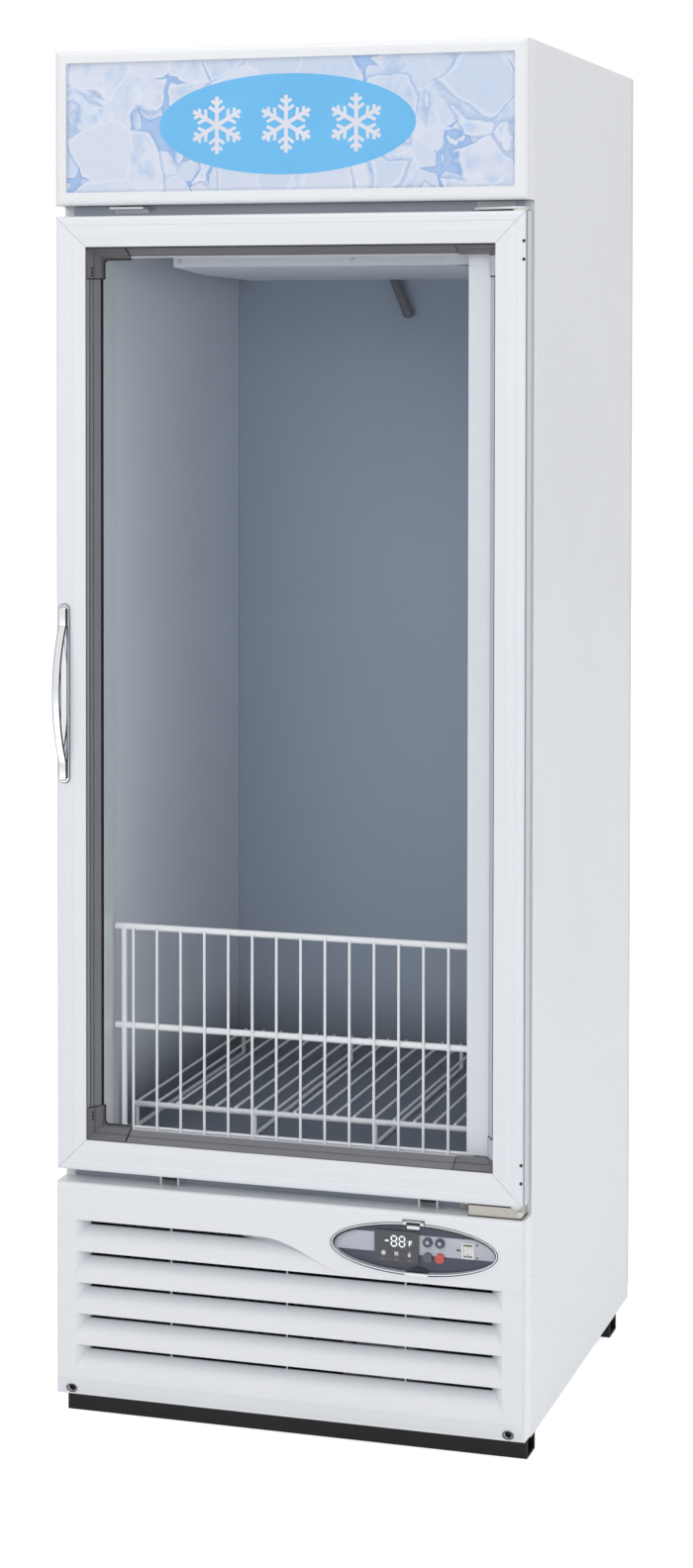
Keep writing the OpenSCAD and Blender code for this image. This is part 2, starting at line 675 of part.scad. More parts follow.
module grille_panel() color(white) difference() {
  intersection() {
    union() {
      fascia();
      panel_borders();
      panel_returns();
      louvre_group(0, 0, swoop_x1, short_x1);
      louvre_group(1, louvres - 1, louvre_w / 2, louvre_w / 2 - cheek);
      for (s = [-1, 1]) bar_y(s * screw_x, screw_z, 8, screw_d + 3, 8);
      // ribs that tie the louvres together across the slots
      for (x = rib_x) block([x - rib_w / 2, louvre_d - 0.5, louvre_z0],
        [x + rib_w / 2, louvre_d + panel_wall + 4, (x < short_x1 ? slot_z0 : slot_z0 - louvre_pitch) + slot_h]);
    }
    rounded_front(panel_z0, panel_z1, face_d, panel_r, 1);
  }
  along_y(-1, louvre_d + 6, shifted(ellipse(oval_w, oval_h), oval_x, oval_z));
  for (s = [-1, 1]) {
    bar_y(s * screw_x, screw_z, -1, screw_d, screw_head_r + 0.3);
    bar_y(s * screw_x, screw_z, screw_d - 1, screw_d + 10, screw_shank_r);
  }
}

// ---------------------------------------------------------------- control

bezel_w = 3;
bezel_proud = 1.2;
cover_d0 = 0.4;
cover_t = 2;
fascia_d = 9;
module control_bezel() color([0.82, 0.83, 0.85]) difference() {
  union() {
    along_y(-bezel_proud, 0, shifted(ellipse(oval_w + 4, oval_h + 4), oval_x, oval_z));
    along_y(0, fascia_d, shifted(ellipse(oval_w - 0.4, oval_h - 0.4), oval_x, oval_z));
    block([oval_x - 15, -bezel_proud - 2, knuckle_z - 2.8], [oval_x + 15, 0, knuckle_z + 3.2]);
  }
  along_y(-4, fascia_d + 1, shifted(ellipse(oval_w - 2 * bezel_w, oval_h - 2 * bezel_w), oval_x, oval_z));
  bar_x(knuckle_d, knuckle_z, oval_x - 11, oval_x + 11, knuckle_r + 0.05);
  block([oval_x - 10, -9, knuckle_z - 5], [oval_x + 10, fascia_d + 1, knuckle_z + 1.9]);
}
knuckle_r = 1.2;
knuckle_d = -bezel_proud - 0.6;
knuckle_z = oval_z + oval_h / 2 - 1;

// Clear cover that swings up on a small pin at its top edge; a thumb notch is cut at the bottom.
cover_gap = 0.5;
module control_cover() color([0.55, 0.6, 0.75, 0.35]) {
  difference() {
    along_y(cover_d0, cover_d0 + cover_t,
      shifted(ellipse(oval_w - 2 * bezel_w - 2 * cover_gap, oval_h - 2 * bezel_w - 2 * cover_gap), oval_x, oval_z));
    bar_y(oval_x + 4, oval_z - oval_h / 2 - 6, -1, 4, 15);
  }
  bar_x(knuckle_d, knuckle_z, oval_x - 10.6, oval_x + 10.6, knuckle_r);
  along_x_at(oval_x, 18, [[knuckle_d - knuckle_r, knuckle_z], [knuckle_d + 0.2, knuckle_z - knuckle_r],
    [cover_d0 + cover_t, knuckle_z - 4.6], [cover_d0, knuckle_z - 6.5], [knuckle_d - knuckle_r, knuckle_z - 2.4]]);
}
module along_x_at(x, length, points) translate([x, 0, 0]) along_x(length, points);

button_d0 = fascia_d - 3 - button_travel;
buttons = [for (z = [9, -12], x = [18, 35.5]) [oval_x + x, oval_z + z]];
display_x = oval_x - 26;
display_w = 63;
display_h = 44;
rocker_x = oval_x + 75;
rocker_z = oval_z + 1.5;
module control_fascia() color([0.16, 0.18, 0.28]) difference() {
  along_y(fascia_d, fascia_d + 3, shifted(ellipse(oval_w + 8, oval_h + 8), oval_x, oval_z));
  for (b = buttons) bar_y(b[0], b[1], fascia_d - 1, fascia_d + 4, button_r + 0.3);
  block([rocker_x - 9, fascia_d - 1, rocker_z - 11], [rocker_x + 9, fascia_d + 4, rocker_z + 11]);
}

module display_module() color([0.22, 0.22, 0.24])
  block([display_x - display_w / 2, fascia_d - 4, oval_z - display_h / 2],
    [display_x + display_w / 2, fascia_d, oval_z + display_h / 2]);

module button(i) {
  b = buttons[i];
  bar_y(b[0], b[1], button_d0, fascia_d + 5, button_r);
  bar_y(b[0], b[1], fascia_d + 3.2, fascia_d + 4.4, button_r + 1);
}
module button_up() color([0.25, 0.26, 0.36]) button(0);
module button_down() color([0.25, 0.26, 0.36]) button(1);
module button_set() color([0.35, 0.36, 0.38]) button(2);
module button_defrost() color([0.8, 0.3, 0.25]) button(3);

rocker_pin_r = 1.5;
module rocker_frame() color([0.9, 0.9, 0.86]) difference() {
  block([rocker_x - 8.9, fascia_d - 1.5, rocker_z - 10.9], [rocker_x + 8.9, fascia_d + 14, rocker_z + 10.9]);
  block([rocker_x - 6.5, fascia_d - 3, rocker_z - 9], [rocker_x + 6.5, fascia_d + 12, rocker_z + 9]);
  bar_x(fascia_d + 5, rocker_z, rocker_x - 9, rocker_x + 9, rocker_pin_r + 0.05);
}
module rocker_switch() color([0.93, 0.93, 0.9]) {
  along_x_at(rocker_x, 12.2, [[fascia_d - 2.2, rocker_z + 6.8], [fascia_d + 0.4, rocker_z],
    [fascia_d - 0.2, rocker_z - 6.8], [fascia_d + 7, rocker_z - 4], [fascia_d + 7, rocker_z + 4]]);
  bar_x(fascia_d + 5, rocker_z, rocker_x - 8.8, rocker_x + 8.8, rocker_pin_r);
}

// Wiring box behind the control window, open to the front and hung from the deck.
box_wall = 2;
module electrical_box() color([0.75, 0.76, 0.78]) {
  x0 = oval_x - oval_w / 2 - 7;
  x1 = oval_x + oval_w / 2 + 7;
  z0 = oval_z - oval_h / 2 - 3;
  difference() {
    block([x0, fascia_d + 3, z0], [x1, 120, deck_z]);
    block([x0 + box_wall, fascia_d + 2, z0 + box_wall], [x1 - box_wall, 120 - box_wall, deck_z - box_wall]);
  }
}

// ---------------------------------------------------------------- inside

cover_back = back_in - 0.5;
cover_wall = 1.5;
cover_front_x = in_w / 2 - 82;
cover_side_x = in_w / 2 - 25;
cover_chamfer_d = 430;
evap_fan_r = 72;
evap_fan_x = cover_front_x - evap_fan_r - 15;
evap_fan_z = cover_z + cover_h / 2;
evap_fan_d = cover_d + 34;

// The cover's outer form, or its hollow when it is drawn inwards by o.
module cover_form(o) intersection() {
  along_x(in_w, [[cover_d + o, ceiling_z + o], [cover_d + o, cover_z + o],
    [cover_back + o, cover_z - cover_fall + o], [cover_back + o, ceiling_z + o]]);
  translate([0, 0, cover_z - 60]) linear_extrude(ceiling_z - cover_z + 61) polygon([
    [-cover_front_x + o, cover_d], [cover_front_x - o, cover_d], [cover_side_x - o, cover_chamfer_d],
    [cover_side_x - o, cover_back + 2], [o - cover_side_x, cover_back + 2], [o - cover_side_x, cover_chamfer_d]]);
}

module evaporator_cover() color(liner_white) difference() {
  intersection() {
    cover_form(0);
    block([-half_w, 0, 0], [half_w, cover_back, ceiling_z]);
  }
  cover_form(cover_wall);
  for (s = [-1, 1]) intersection() {
    bar_y(s * evap_fan_x, evap_fan_z, cover_d - 1, cover_d + 3, evap_fan_r);
    for (i = [-5:5])
      block([s * evap_fan_x - 90, cover_d - 2, evap_fan_z + i * 12 - 4], [s * evap_fan_x + 90, cover_d + 4, evap_fan_z + i * 12 + 4]);
  }
}

// Fin pack hung from the ceiling between two end plates, with four tubes through it.
coil_fins = 19;
coil_half = in_w / 2 - 44;
coil_d0 = cover_chamfer_d + 10;
coil_d1 = coil_d0 + 160;
coil_z0 = cover_z + 38;
coil_z1 = ceiling_z - 49;
coil_tube_r = 8;
coil_tube_d = [coil_d0 + 40, coil_d1 - 40];
coil_tube_z = [coil_z0 + 40, coil_z1 - 40];
module evaporator_coil() color([0.8, 0.82, 0.84]) {
  for (i = [0:coil_fins - 1]) {
    x = (i - (coil_fins - 1) / 2) * 2 * (coil_half - 9) / (coil_fins - 1);
    block([x - 1, coil_d0, coil_z0], [x + 1, coil_d1, coil_z1]);
  }
  for (d = coil_tube_d, z = coil_tube_z) bar_x(d, z, -coil_half - 7, coil_half + 7, coil_tube_r);
  for (s = [-1, 1])
    block([s * coil_half - 1.5, coil_d0 - 10, coil_z0 - 10], [s * coil_half + 1.5, coil_d1 + 10, ceiling_z]);
}

module fan_blades(r, hub_r, depth, blades) {
  difference() {
    union() {
      rotate([90, 0, 0]) translate([0, 0, -depth / 2]) cylinder(r = hub_r, h = depth, $fn = 48);
      intersection() {
        for (i = [0:blades - 1]) rotate([0, i * 360 / blades, 0]) translate([r / 2, 0, 0]) rotate([32, 0, 0])
          cube([r, 1.6, r * 0.72], center = true);
        rotate([90, 0, 0]) translate([0, 0, -depth / 2]) cylinder(r = r, h = depth, $fn = 96);
      }
    }
    rotate([90, 0, 0]) translate([0, 0, -depth]) cylinder(r = shaft_r + 0.05, h = 2 * depth, $fn = 32);
  }
}

// Motor, shaft and cross bar of one fan; the bar's legs stand on a wall at depth wall_d.
module fan_motor(x, z, wall_d, shaft_d, motor_d, r, reach) {
  bar_y(x, z, motor_d, motor_d + 48, r);
  bar_y(x, z, shaft_d, motor_d, shaft_r);
  block([x - reach, motor_d + 40, z - 8], [x + reach, motor_d + 43, z + 8]);
  for (s = [-1, 1]) block([x + s * reach - 2, wall_d, z - 8], [x + s * reach + 2, motor_d + 43, z + 8]);
}
shaft_r = 3;

module evaporator_fan_motors() color(black) for (s = [-1, 1])
  fan_motor(s * evap_fan_x, evap_fan_z, cover_d + cover_wall, evap_fan_d - 14, evap_fan_d + 18, 28, evap_fan_r + 8);
module evaporator_fan_at(x) color([0.25, 0.27, 0.3])
  translate([x, evap_fan_d, evap_fan_z]) fan_blades(evap_fan_r, 16, 22, 5);

// Lamp at the right of the opening: a white channel whose lower end steps in.
lamp_front = face_d + 14;
lamp_z0 = sill_z + 8;
lamp_z1 = open_z1 - 8;
module interior_lamp() color([0.95, 0.96, 0.98]) {
  x1 = in_w / 2 - trim_t;
  difference() {
    block([x1 - lamp_w, lamp_front, lamp_z0], [x1, lamp_front + lamp_d, lamp_z1]);
    block([x1 - lamp_w + 2, lamp_front + 2, lamp_z0 + 16], [x1 - 2, lamp_front + lamp_d - 3, lamp_z1 - 8]);
    block([x1 - 5, lamp_front - 1, lamp_z0 - 1], [x1 + 1, lamp_front + lamp_d + 1, lamp_z0 + 12]);
  }
}

// ---------------------------------------------------------------- wire goods

weld = 0.6;  // how far welded wires sink into each other
guard_d = lamp_front + lamp_d + 10;
guard_wire_d = guard_d - guard_r - wire_r + weld;
guard_half = in_w / 2 - 6;
guard_post_x = guard_half - 13;
guard_z0 = sill_z + sill_t;
guard_z1 = guard_z0 + guard_h;
guard_pitch = 2 * (guard_post_x - 16) / (guard_wires - 1);
// Welded guard: thin upright wires lie in front of two thick bars between two posts.
module front_guard() color(white) {
  for (z = [guard_z0 + guard_h / 2, guard_z1 - guard_r]) bar_x(guard_d, z, -guard_half, guard_half, guard_r);
  bar_x(guard_wire_d + 2 * wire_r - weld, guard_z0 + wire_r, -guard_post_x, guard_post_x, wire_r);
  for (s = [-1, 1]) bar_z(s * guard_post_x, guard_d, guard_z0, guard_z1 - guard_r, guard_r - weld);
  for (i = [0:guard_wires - 1])
    bar_z((i - (guard_wires - 1) / 2) * guard_pitch, guard_wire_d, guard_z0, guard_z1 - guard_r, wire_r);
}

rack_r = 4.3;
foot_r = 3;
rack_front = 150;
rack_back = back_in - 22;
rack_half = in_w / 2 - 9;
rack_top = floor_z + rack_h;
rack_rail_z = rack_top - 2 * wire_r - rack_r + weld;
module floor_rack() color(white) {
  for (d = [rack_front, rack_back]) bar_x(d, rack_rail_z, -rack_half, rack_half, rack_r);
  for (i = [0:rack_wires - 1]) {
    x = (i - (rack_wires - 1) / 2) * (2 * rack_half - 20) / (rack_wires - 1);
    bar_y(x, rack_top - wire_r, rack_front - 2, rack_back + 2, wire_r);
  }
  for (i = [-3, -1, 1, 3]) rack_leg(i * (rack_half - 6) / 3);
}

// One U-shaped runner: down behind the front rail, back along the floor and up to the rear rail.
module rack_leg(x) {
  for (d = [rack_front, rack_back]) {
    bar_z(x, d, floor_z + foot_r, rack_rail_z, foot_r);
    translate([x, d, floor_z + foot_r]) sphere(r = foot_r, $fn = 32);
  }
  bar_y(x, floor_z + foot_r, rack_front, rack_back, foot_r);
}

// ---------------------------------------------------------------- machine

comp_x = half_w - 173;
comp_d = 480;
comp_r = 92;
comp_h = 205;
foot_z = pan_top + 22;
module compressor() color(black) translate([comp_x, comp_d, 0]) {
  translate([0, 0, foot_z]) rotate_extrude($fn = 96) polygon(concat(
    [[0, 3], [comp_r - 22, 3]],
    [for (i = [0:6]) [comp_r - 22 + 22 * sin(15 * i), 25 - 22 * cos(15 * i)]],
    [[comp_r, comp_h - 46]],
    [for (i = [0:6]) [comp_r - 46 + 46 * cos(15 * i), comp_h - 46 + 46 * sin(15 * i)]],
    [[0, comp_h]]));
  translate([0, 0, foot_z]) linear_extrude(3) for (a = [45, -45]) rotate(a) square([240, 36], center = true);
  block([comp_r - 12, -22, foot_z + 70], [comp_r + 22, 22, foot_z + 130]);
  for (a = [45, 135, 225, 315]) rotate(a) translate([104, 0, pan_top]) cylinder(r = 13, h = 22, $fn = 32);
}

cond_x0 = 33 - half_w;
cond_x1 = comp_x - comp_r - 38;
cond_d0 = 62;
cond_d1 = 122;
cond_z0 = pan_top;
cond_z1 = 316;
cond_fins = 23;
module condenser() color([0.35, 0.36, 0.38]) {
  for (x = [cond_x0, cond_x1 - 3]) block([x, cond_d0, cond_z0], [x + 3, cond_d1, cond_z1]);
  for (i = [1:cond_fins]) {
    x = cond_x0 + i * (cond_x1 - cond_x0) / (cond_fins + 1);
    block([x - 1, cond_d0 + 4, cond_z0 + 6], [x + 1, cond_d1 - 4, cond_z1 - 6]);
  }
  for (z = [cond_z0 + 30:50:cond_z1 - 20]) bar_x((cond_d0 + cond_d1) / 2, z, cond_x0 - 12, cond_x1 + 12, 6);
  difference() {
    block([cond_x0, cond_d1, cond_z0], [cond_x1, cond_d1 + 40, cond_z1]);
    block([cond_x0 + 3, cond_d1 - 1, cond_z0 + 3], [cond_x1 - 3, cond_d1 + 38, cond_z1 - 3]);
    bar_y(cond_fan_x, cond_fan_z, cond_d1 + 30, cond_d1 + 50, cond_fan_r + 6);
  }
  fan_motor(cond_fan_x, cond_fan_z, cond_d1 + 40, cond_d1 + 10, cond_d1 + 66, 38, cond_fan_r + 12);
}
cond_fan_x = (cond_x0 + cond_x1) / 2;
cond_fan_z = (cond_z0 + cond_z1) / 2;
cond_fan_r = (cond_x1 - cond_x0) / 2 - 67;
module condenser_fan() color([0.25, 0.27, 0.3])
  translate([cond_fan_x, cond_d1 + 38, cond_fan_z]) fan_blades(cond_fan_r, 24, 30, 5);

// Refrigerant lines: X, height and start in the machine space, height and start at the coil, radius.
pipe_d = cab_d - wall_t / 2;
pipe_at_coil = coil_tube_d[1] + coil_tube_r + 0.3;
pipes = [
  [comp_x, 200, comp_d + comp_r + 0.3, coil_tube_z[1], pipe_at_coil, 6],
  [cond_x1 + 24, cond_z0 + 80, (cond_d0 + cond_d1) / 2, coil_tube_z[0], pipe_at_coil, 4]];
module pipe_run(p) {
  bar_y(p[0], p[1], p[2], pipe_d, p[5]);
  bar_y(p[0], p[3], p[4], pipe_d, p[5]);
  bar_z(p[0], pipe_d, p[1], p[3], p[5]);
  for (z = [p[1], p[3]]) translate([p[0], pipe_d, z]) sphere(r = p[5] + 1, $fn = 32);
}
module refrigerant_lines() color(copper) {
  for (p = pipes) pipe_run(p);
  bar_x(pipes[1][2], pipes[1][1], cond_x1 + 12.3, pipes[1][0], pipes[1][5]);
}

// Condensate drain: a hose from the evaporator cover leans down to the back wall, runs down inside
// the wall and ends over the pan on the base.
drain_r = 8;
drain_x0 = -23;
drain_x1 = -2;
drain_d = back_in - 14;
drain_z0 = cover_z - cover_fall * (drain_d - cover_d) / (cover_back - cover_d);
drain_z1 = drain_z0 - 52;
drain_pan_x0 = 43 - half_w;
drain_pan_x1 = drain_pan_x0 + 340;
drain_pan_d0 = cab_d - 182;
drain_pan_d1 = cab_d - 6;
drain_pan_h = 28;
module drain_in_wall(r) {
  bar_y(drain_x1, drain_z1, drain_d, pipe_d, r);
  bar_z(drain_x1, pipe_d, pan_top + 16, drain_z1, r);
  translate([drain_x1, pipe_d, drain_z1]) sphere(r = r + 1, $fn = 32);
}
module drain_parts() color([0.42, 0.43, 0.44]) {
  drain_in_wall(drain_r);
  lean = atan((drain_x1 - drain_x0) / (drain_z0 - drain_z1));
  intersection() {
    translate([drain_x1, drain_d, drain_z1]) rotate([0, -lean, 0]) cylinder(r = drain_r, h = 80, $fn = 48);
    block([-half_w, 0, 0], [half_w, cab_d, drain_z0 - 0.8]);
  }
  translate([drain_x1, drain_d, drain_z1]) sphere(r = drain_r + 1, $fn = 48);
  difference() {
    block([drain_pan_x0, drain_pan_d0, pan_top], [drain_pan_x1, drain_pan_d1, pan_top + drain_pan_h]);
    block([drain_pan_x0 + 2, drain_pan_d0 + 2, pan_top + 2], [drain_pan_x1 - 2, drain_pan_d1 - 2, pan_top + drain_pan_h + 1]);
  }
}
module wall_passages() {
  for (p = pipes) pipe_run(p);
  drain_in_wall(drain_r);
}

placed() mirror([1, 0, 0]) side_panel();  // side_panel_left
placed() side_panel();  // side_panel_right
placed() top_panel();
placed() back_panel();
placed() face_frame();
placed() foam_insulation();
placed() inner_liner();
placed() breaker_trim();
placed() sill_plate();
placed() deck_panel();
placed() base_pan();
placed() base_rails();
placed() rear_vent_panel();
placed() grille_panel();
placed() header_frame();
placed() sign_panel();
placed() header_light_tray();
placed() header_lamps();
placed() door_stile_handle();
placed() door_stile_hinge();
placed() door_rail_top();
placed() door_rail_bottom();
placed() glass_outer();
placed() glass_middle();
placed() glass_inner();
placed() spacer_bars();
placed() spacer_corner_keys();
placed() door_gasket();
placed() handle_base();
placed() handle_grip();
placed() hinge_bushes();
placed() closer_torsion_rod();
placed() hinge_top();
placed() hinge_bottom();
placed() blank_bracket();
placed() fixing_screws();
placed() control_bezel();
placed() control_fascia();
placed() display_module();
placed() control_cover();
placed() button_up();
placed() button_down();
placed() button_set();
placed() button_defrost();
placed() rocker_frame();
placed() rocker_switch();
placed() electrical_box();
placed() evaporator_cover();
placed() evaporator_coil();
placed() evaporator_fan_motors();
placed() evaporator_fan_at(-evap_fan_x);  // evaporator_fan_left
placed() evaporator_fan_at(evap_fan_x);  // evaporator_fan_right
placed() interior_lamp();
placed() front_guard();
placed() floor_rack();
placed() compressor();
placed() condenser();
placed() condenser_fan();
placed() refrigerant_lines();
placed() drain_parts();
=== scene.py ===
# Upright ice merchandiser freezer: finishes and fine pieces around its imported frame.
import math

import bmesh
import bpy
from mathutils import Matrix, Vector


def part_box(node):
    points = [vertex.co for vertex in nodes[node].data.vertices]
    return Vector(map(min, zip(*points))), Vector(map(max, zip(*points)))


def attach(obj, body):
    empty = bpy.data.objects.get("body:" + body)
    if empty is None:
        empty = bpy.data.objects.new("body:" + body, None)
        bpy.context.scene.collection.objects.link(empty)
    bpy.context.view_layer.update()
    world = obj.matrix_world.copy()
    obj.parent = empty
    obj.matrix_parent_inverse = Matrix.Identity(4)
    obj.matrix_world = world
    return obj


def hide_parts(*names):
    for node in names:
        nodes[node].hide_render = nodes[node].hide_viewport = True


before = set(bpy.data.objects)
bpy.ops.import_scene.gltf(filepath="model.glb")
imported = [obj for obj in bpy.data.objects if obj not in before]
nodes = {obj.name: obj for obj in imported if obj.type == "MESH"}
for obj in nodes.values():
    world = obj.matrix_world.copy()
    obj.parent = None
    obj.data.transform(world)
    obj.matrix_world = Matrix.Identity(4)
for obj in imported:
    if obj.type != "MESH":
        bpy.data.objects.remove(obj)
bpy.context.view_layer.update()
mm = 0.001

# places on the front are given as depth behind the door's face, in millimetres
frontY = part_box("door_rail_bottom")[0].y
doorLow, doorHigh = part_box("door_rail_bottom")[0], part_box("door_rail_top")[1]
signLow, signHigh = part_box("sign_panel")


def depth(d):
    return frontY + d * mm


# small mesh helpers

def justVerts(geom):
    return [g for g in geom if isinstance(g, bmesh.types.BMVert)]


def edgesOf(verts):
    return list({e for v in verts for e in v.link_edges})


def addBox(bm, low, high, bevel=0.0):
    low, high = Vector(low), Vector(high)
    size = high - low
    matrix = Matrix.Translation((low + high) / 2) @ Matrix.Diagonal((*size, 1))
    verts = bmesh.ops.create_cube(bm, size=1, matrix=matrix)["verts"]
    if bevel:
        bmesh.ops.bevel(bm, geom=edgesOf(verts), offset=bevel, offset_type="OFFSET", segments=3,
                        affect="EDGES", profile=0.5, material=-1, clamp_overlap=True)


def addDisc(bm, centre, radius, thickness, segments=32, top=None):
    # a round plate that faces the front; top is the radius of its front face, where that differs
    bmesh.ops.create_cone(
        bm, cap_ends=True, segments=segments, radius1=radius, radius2=radius if top is None else top,
        depth=thickness, matrix=Matrix.Translation(centre) @ Matrix.Rotation(math.pi / 2, 4, "X"))


def addBar(bm, start, end, width, y, thickness):
    # a flat bar on a plane that faces the front; start and end are (x, z)
    run = Vector((end[0] - start[0], 0, end[1] - start[1]))
    middle = Vector(((start[0] + end[0]) / 2, y, (start[1] + end[1]) / 2))
    turn = Matrix.Rotation(-math.atan2(run.z, run.x), 4, "Y")
    matrix = Matrix.Translation(middle) @ turn @ Matrix.Diagonal((run.length, thickness, width, 1))
    bmesh.ops.create_cube(bm, size=1, matrix=matrix)


def addQuad(bm, low, high, y):
    # one upright rectangle that faces the front; low and high are (x, z)
    corners = ((low[0], low[1]), (high[0], low[1]), (high[0], high[1]), (low[0], high[1]))
    return bm.faces.new([bm.verts.new((x, y, z)) for x, z in corners])


def pushFaces(bm, faces, distance):
    # turns flat faces into a plate, along Y
    pushed = bmesh.ops.extrude_face_region(bm, geom=faces)["geom"]
    bmesh.ops.translate(bm, vec=(0, distance, 0), verts=justVerts(pushed))


def addRing(bm, low, high, width, y, thickness):
    # a flat rectangular frame that faces the front; low and high are (x, z)
    face = addQuad(bm, low, high, y)
    # the face stands alone, so its own edges are the ones to inset from
    inner = bmesh.ops.inset_region(bm, faces=[face], thickness=width, use_even_offset=True,
                                   use_boundary=True)["faces"]
    bmesh.ops.delete(bm, geom=[face], context="FACES_ONLY")
    pushFaces(bm, inner, thickness)


def addStrip(bm, path, across, thickness):
    # a thin strip along a path of points; across is the vector from edge to edge
    old = set(bm.faces)
    half = Vector(across) / 2
    row = bm.edges.new([bm.verts.new(path[0] - half), bm.verts.new(path[0] + half)])
    for last, point in zip(path, path[1:]):
        grown = bmesh.ops.extrude_edge_only(bm, edges=[row])["geom"]
        bmesh.ops.translate(bm, vec=point - last, verts=justVerts(grown))
        row = next(g for g in grown if isinstance(g, bmesh.types.BMEdge))
    made = [f for f in bm.faces if f not in old]
    bmesh.ops.recalc_face_normals(bm, faces=made)
    bmesh.ops.solidify(bm, geom=made, thickness=thickness)


def addCircleBand(bm, segments, circles):
    # the faces between two circles, each given as a radius and a matrix
    loops = []
    for radius, matrix in circles:
        verts = bmesh.ops.create_circle(bm, cap_ends=False, segments=segments, radius=radius,
                                        matrix=matrix)["verts"]
        loops += edgesOf(verts)
    return bmesh.ops.bridge_loops(bm, edges=loops)["faces"]


def addOvalRing(bm, centre, size, width, thickness, fall=0.0):
    # an oval ring that faces the front; its inner edge lies lower than its outer one by fall
    turn = Matrix.Rotation(math.pi / 2, 4, "X")
    circles = [(0.5, Matrix.Translation(Vector(centre) - Vector((0, 0, drop))) @ turn
                @ Matrix.Diagonal((size[0] - 2 * inset, size[1] - 2 * inset, 1, 1)))
               for inset, drop in ((0, 0), (width, fall))]
    pushFaces(bm, addCircleBand(bm, 96, circles), thickness)


def linkMesh(name, bm, material):
    mesh = bpy.data.meshes.new(name)
    bm.to_mesh(mesh)
    bm.free()
    made = bpy.data.objects.new(name, mesh)
    bpy.context.scene.collection.objects.link(made)
    mesh.materials.append(material)
    return made


def addPiece(name, bm, material, body, smooth=True):
    if not bm.faces:
        raise ValueError(name + " has no faces")
    bmesh.ops.recalc_face_normals(bm, faces=bm.faces)
    piece = linkMesh(name, bm, material)
    if smooth:
        piece.data.polygons.foreach_set("use_smooth", [True] * len(piece.data.polygons))
        piece.data.set_sharp_from_angle(angle=math.radians(35))
    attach(piece, body)
    return piece


# materials

def rgb(red, green, blue):
    # 0 to 255 as a photograph shows it, to linear light
    tones = [c / 255 for c in (red, green, blue)]
    return tuple(t / 12.92 if t <= 0.04045 else ((t + 0.055) / 1.055) ** 2.4 for t in tones) + (1,)


class NodeMaker:
    def __init__(self, name, world=False):
        self.owner = bpy.data.worlds.new(name) if world else bpy.data.materials.new(name)
        self.owner.use_nodes = True
        self.tree = self.owner.node_tree
        self.tree.nodes.clear()
        self.output = self.tree.nodes.new("ShaderNodeOutput" + ("World" if world else "Material"))
    def add(self, kind, settings=None, **inputs):
        node = self.tree.nodes.new("ShaderNode" + kind)
        for key, value in (settings or {}).items():
            setattr(node, key, value)
        for key, value in inputs.items():
            self.set(node, key.replace("_", " "), value)
        return node

    def set(self, node, key, value):
        socket = node.inputs[int(key)] if key.isdigit() else node.inputs[key]
        if isinstance(value, bpy.types.NodeSocket):
            self.tree.links.new(value, socket)
        else:
            socket.default_value = value

    def math(self, operation, first, second=0.0, clamp=False):
        node = self.tree.nodes.new("ShaderNodeMath")
        node.operation = operation
        node.use_clamp = clamp
        self.set(node, "0", first)
        self.set(node, "1", second)
        return node.outputs[0]

    def coords(self, stretch=(1, 1, 1), place=(0, 0, 0)):
        source = self.add("TexCoord").outputs["Object"]
        mapping = self.add("Mapping", Vector=source, Scale=stretch, Location=place)
        return mapping.outputs["Vector"]

    def axes(self):
        return self.add("SeparateXYZ", Vector=self.add("TexCoord").outputs["Object"]).outputs

    def noise(self, vector, scale, detail=2.0, roughness=0.5):
        node = self.add("TexNoise", Vector=vector, Scale=scale, Detail=detail, Roughness=roughness)
        return node.outputs["Fac"]

    def between(self, value, low, high, outLow=0.0, outHigh=1.0):
        node = self.add("MapRange", {"interpolation_type": "SMOOTHSTEP"}, Value=value)
        for key, number in (("From Min", low), ("From Max", high), ("To Min", outLow), ("To Max", outHigh)):
            node.inputs[key].default_value = number
        return node.outputs["Result"]

    def overlap(self, *masks):
        # full only where every mask is
        whole = masks[0]
        for mask in masks[1:]:
            whole = self.math("MULTIPLY", whole, mask)
        return whole

    def blend(self, factor, first, second):
        node = self.add("Mix", {"data_type": "RGBA"})
        for key, value in (("0", factor), ("6", first), ("7", second)):
            self.set(node, key, value)
        return node.outputs[2]

    def cloudy(self, look, scale=4.0):
        # the finish's two tones, drifting into each other
        return self.blend(self.noise(self.coords(), scale, 3.0), look["tone"], look["toneB"])

    def mixShaders(self, kind, *inputs):
        node = self.add(kind)
        for key, value in enumerate(inputs):
            self.set(node, str(key), value)
        return node.outputs["Shader"]

    def whereSeen(self):
        # one for what the camera, mirrors and panes see, and nought for the light that falls on things
        path = self.add("LightPath").outputs
        seen = self.math("MAXIMUM", path["Is Camera Ray"], path["Is Glossy Ray"])
        return self.math("MAXIMUM", seen, path["Is Transmission Ray"])

    def bump(self, height, strength, distance):
        return self.add("Bump", Height=height, Strength=strength, Distance=distance).outputs["Normal"]

    def finish(self, shader):
        self.tree.links.new(shader, self.output.inputs["Surface"])
        return self.owner


def makeLook(red, green, blue, spread, **more):
    # a tone, its slightly darker neighbour, and what else the finish is given
    return {"tone": rgb(red, green, blue), "toneB": rgb(red - spread, green - spread, blue - spread), **more}


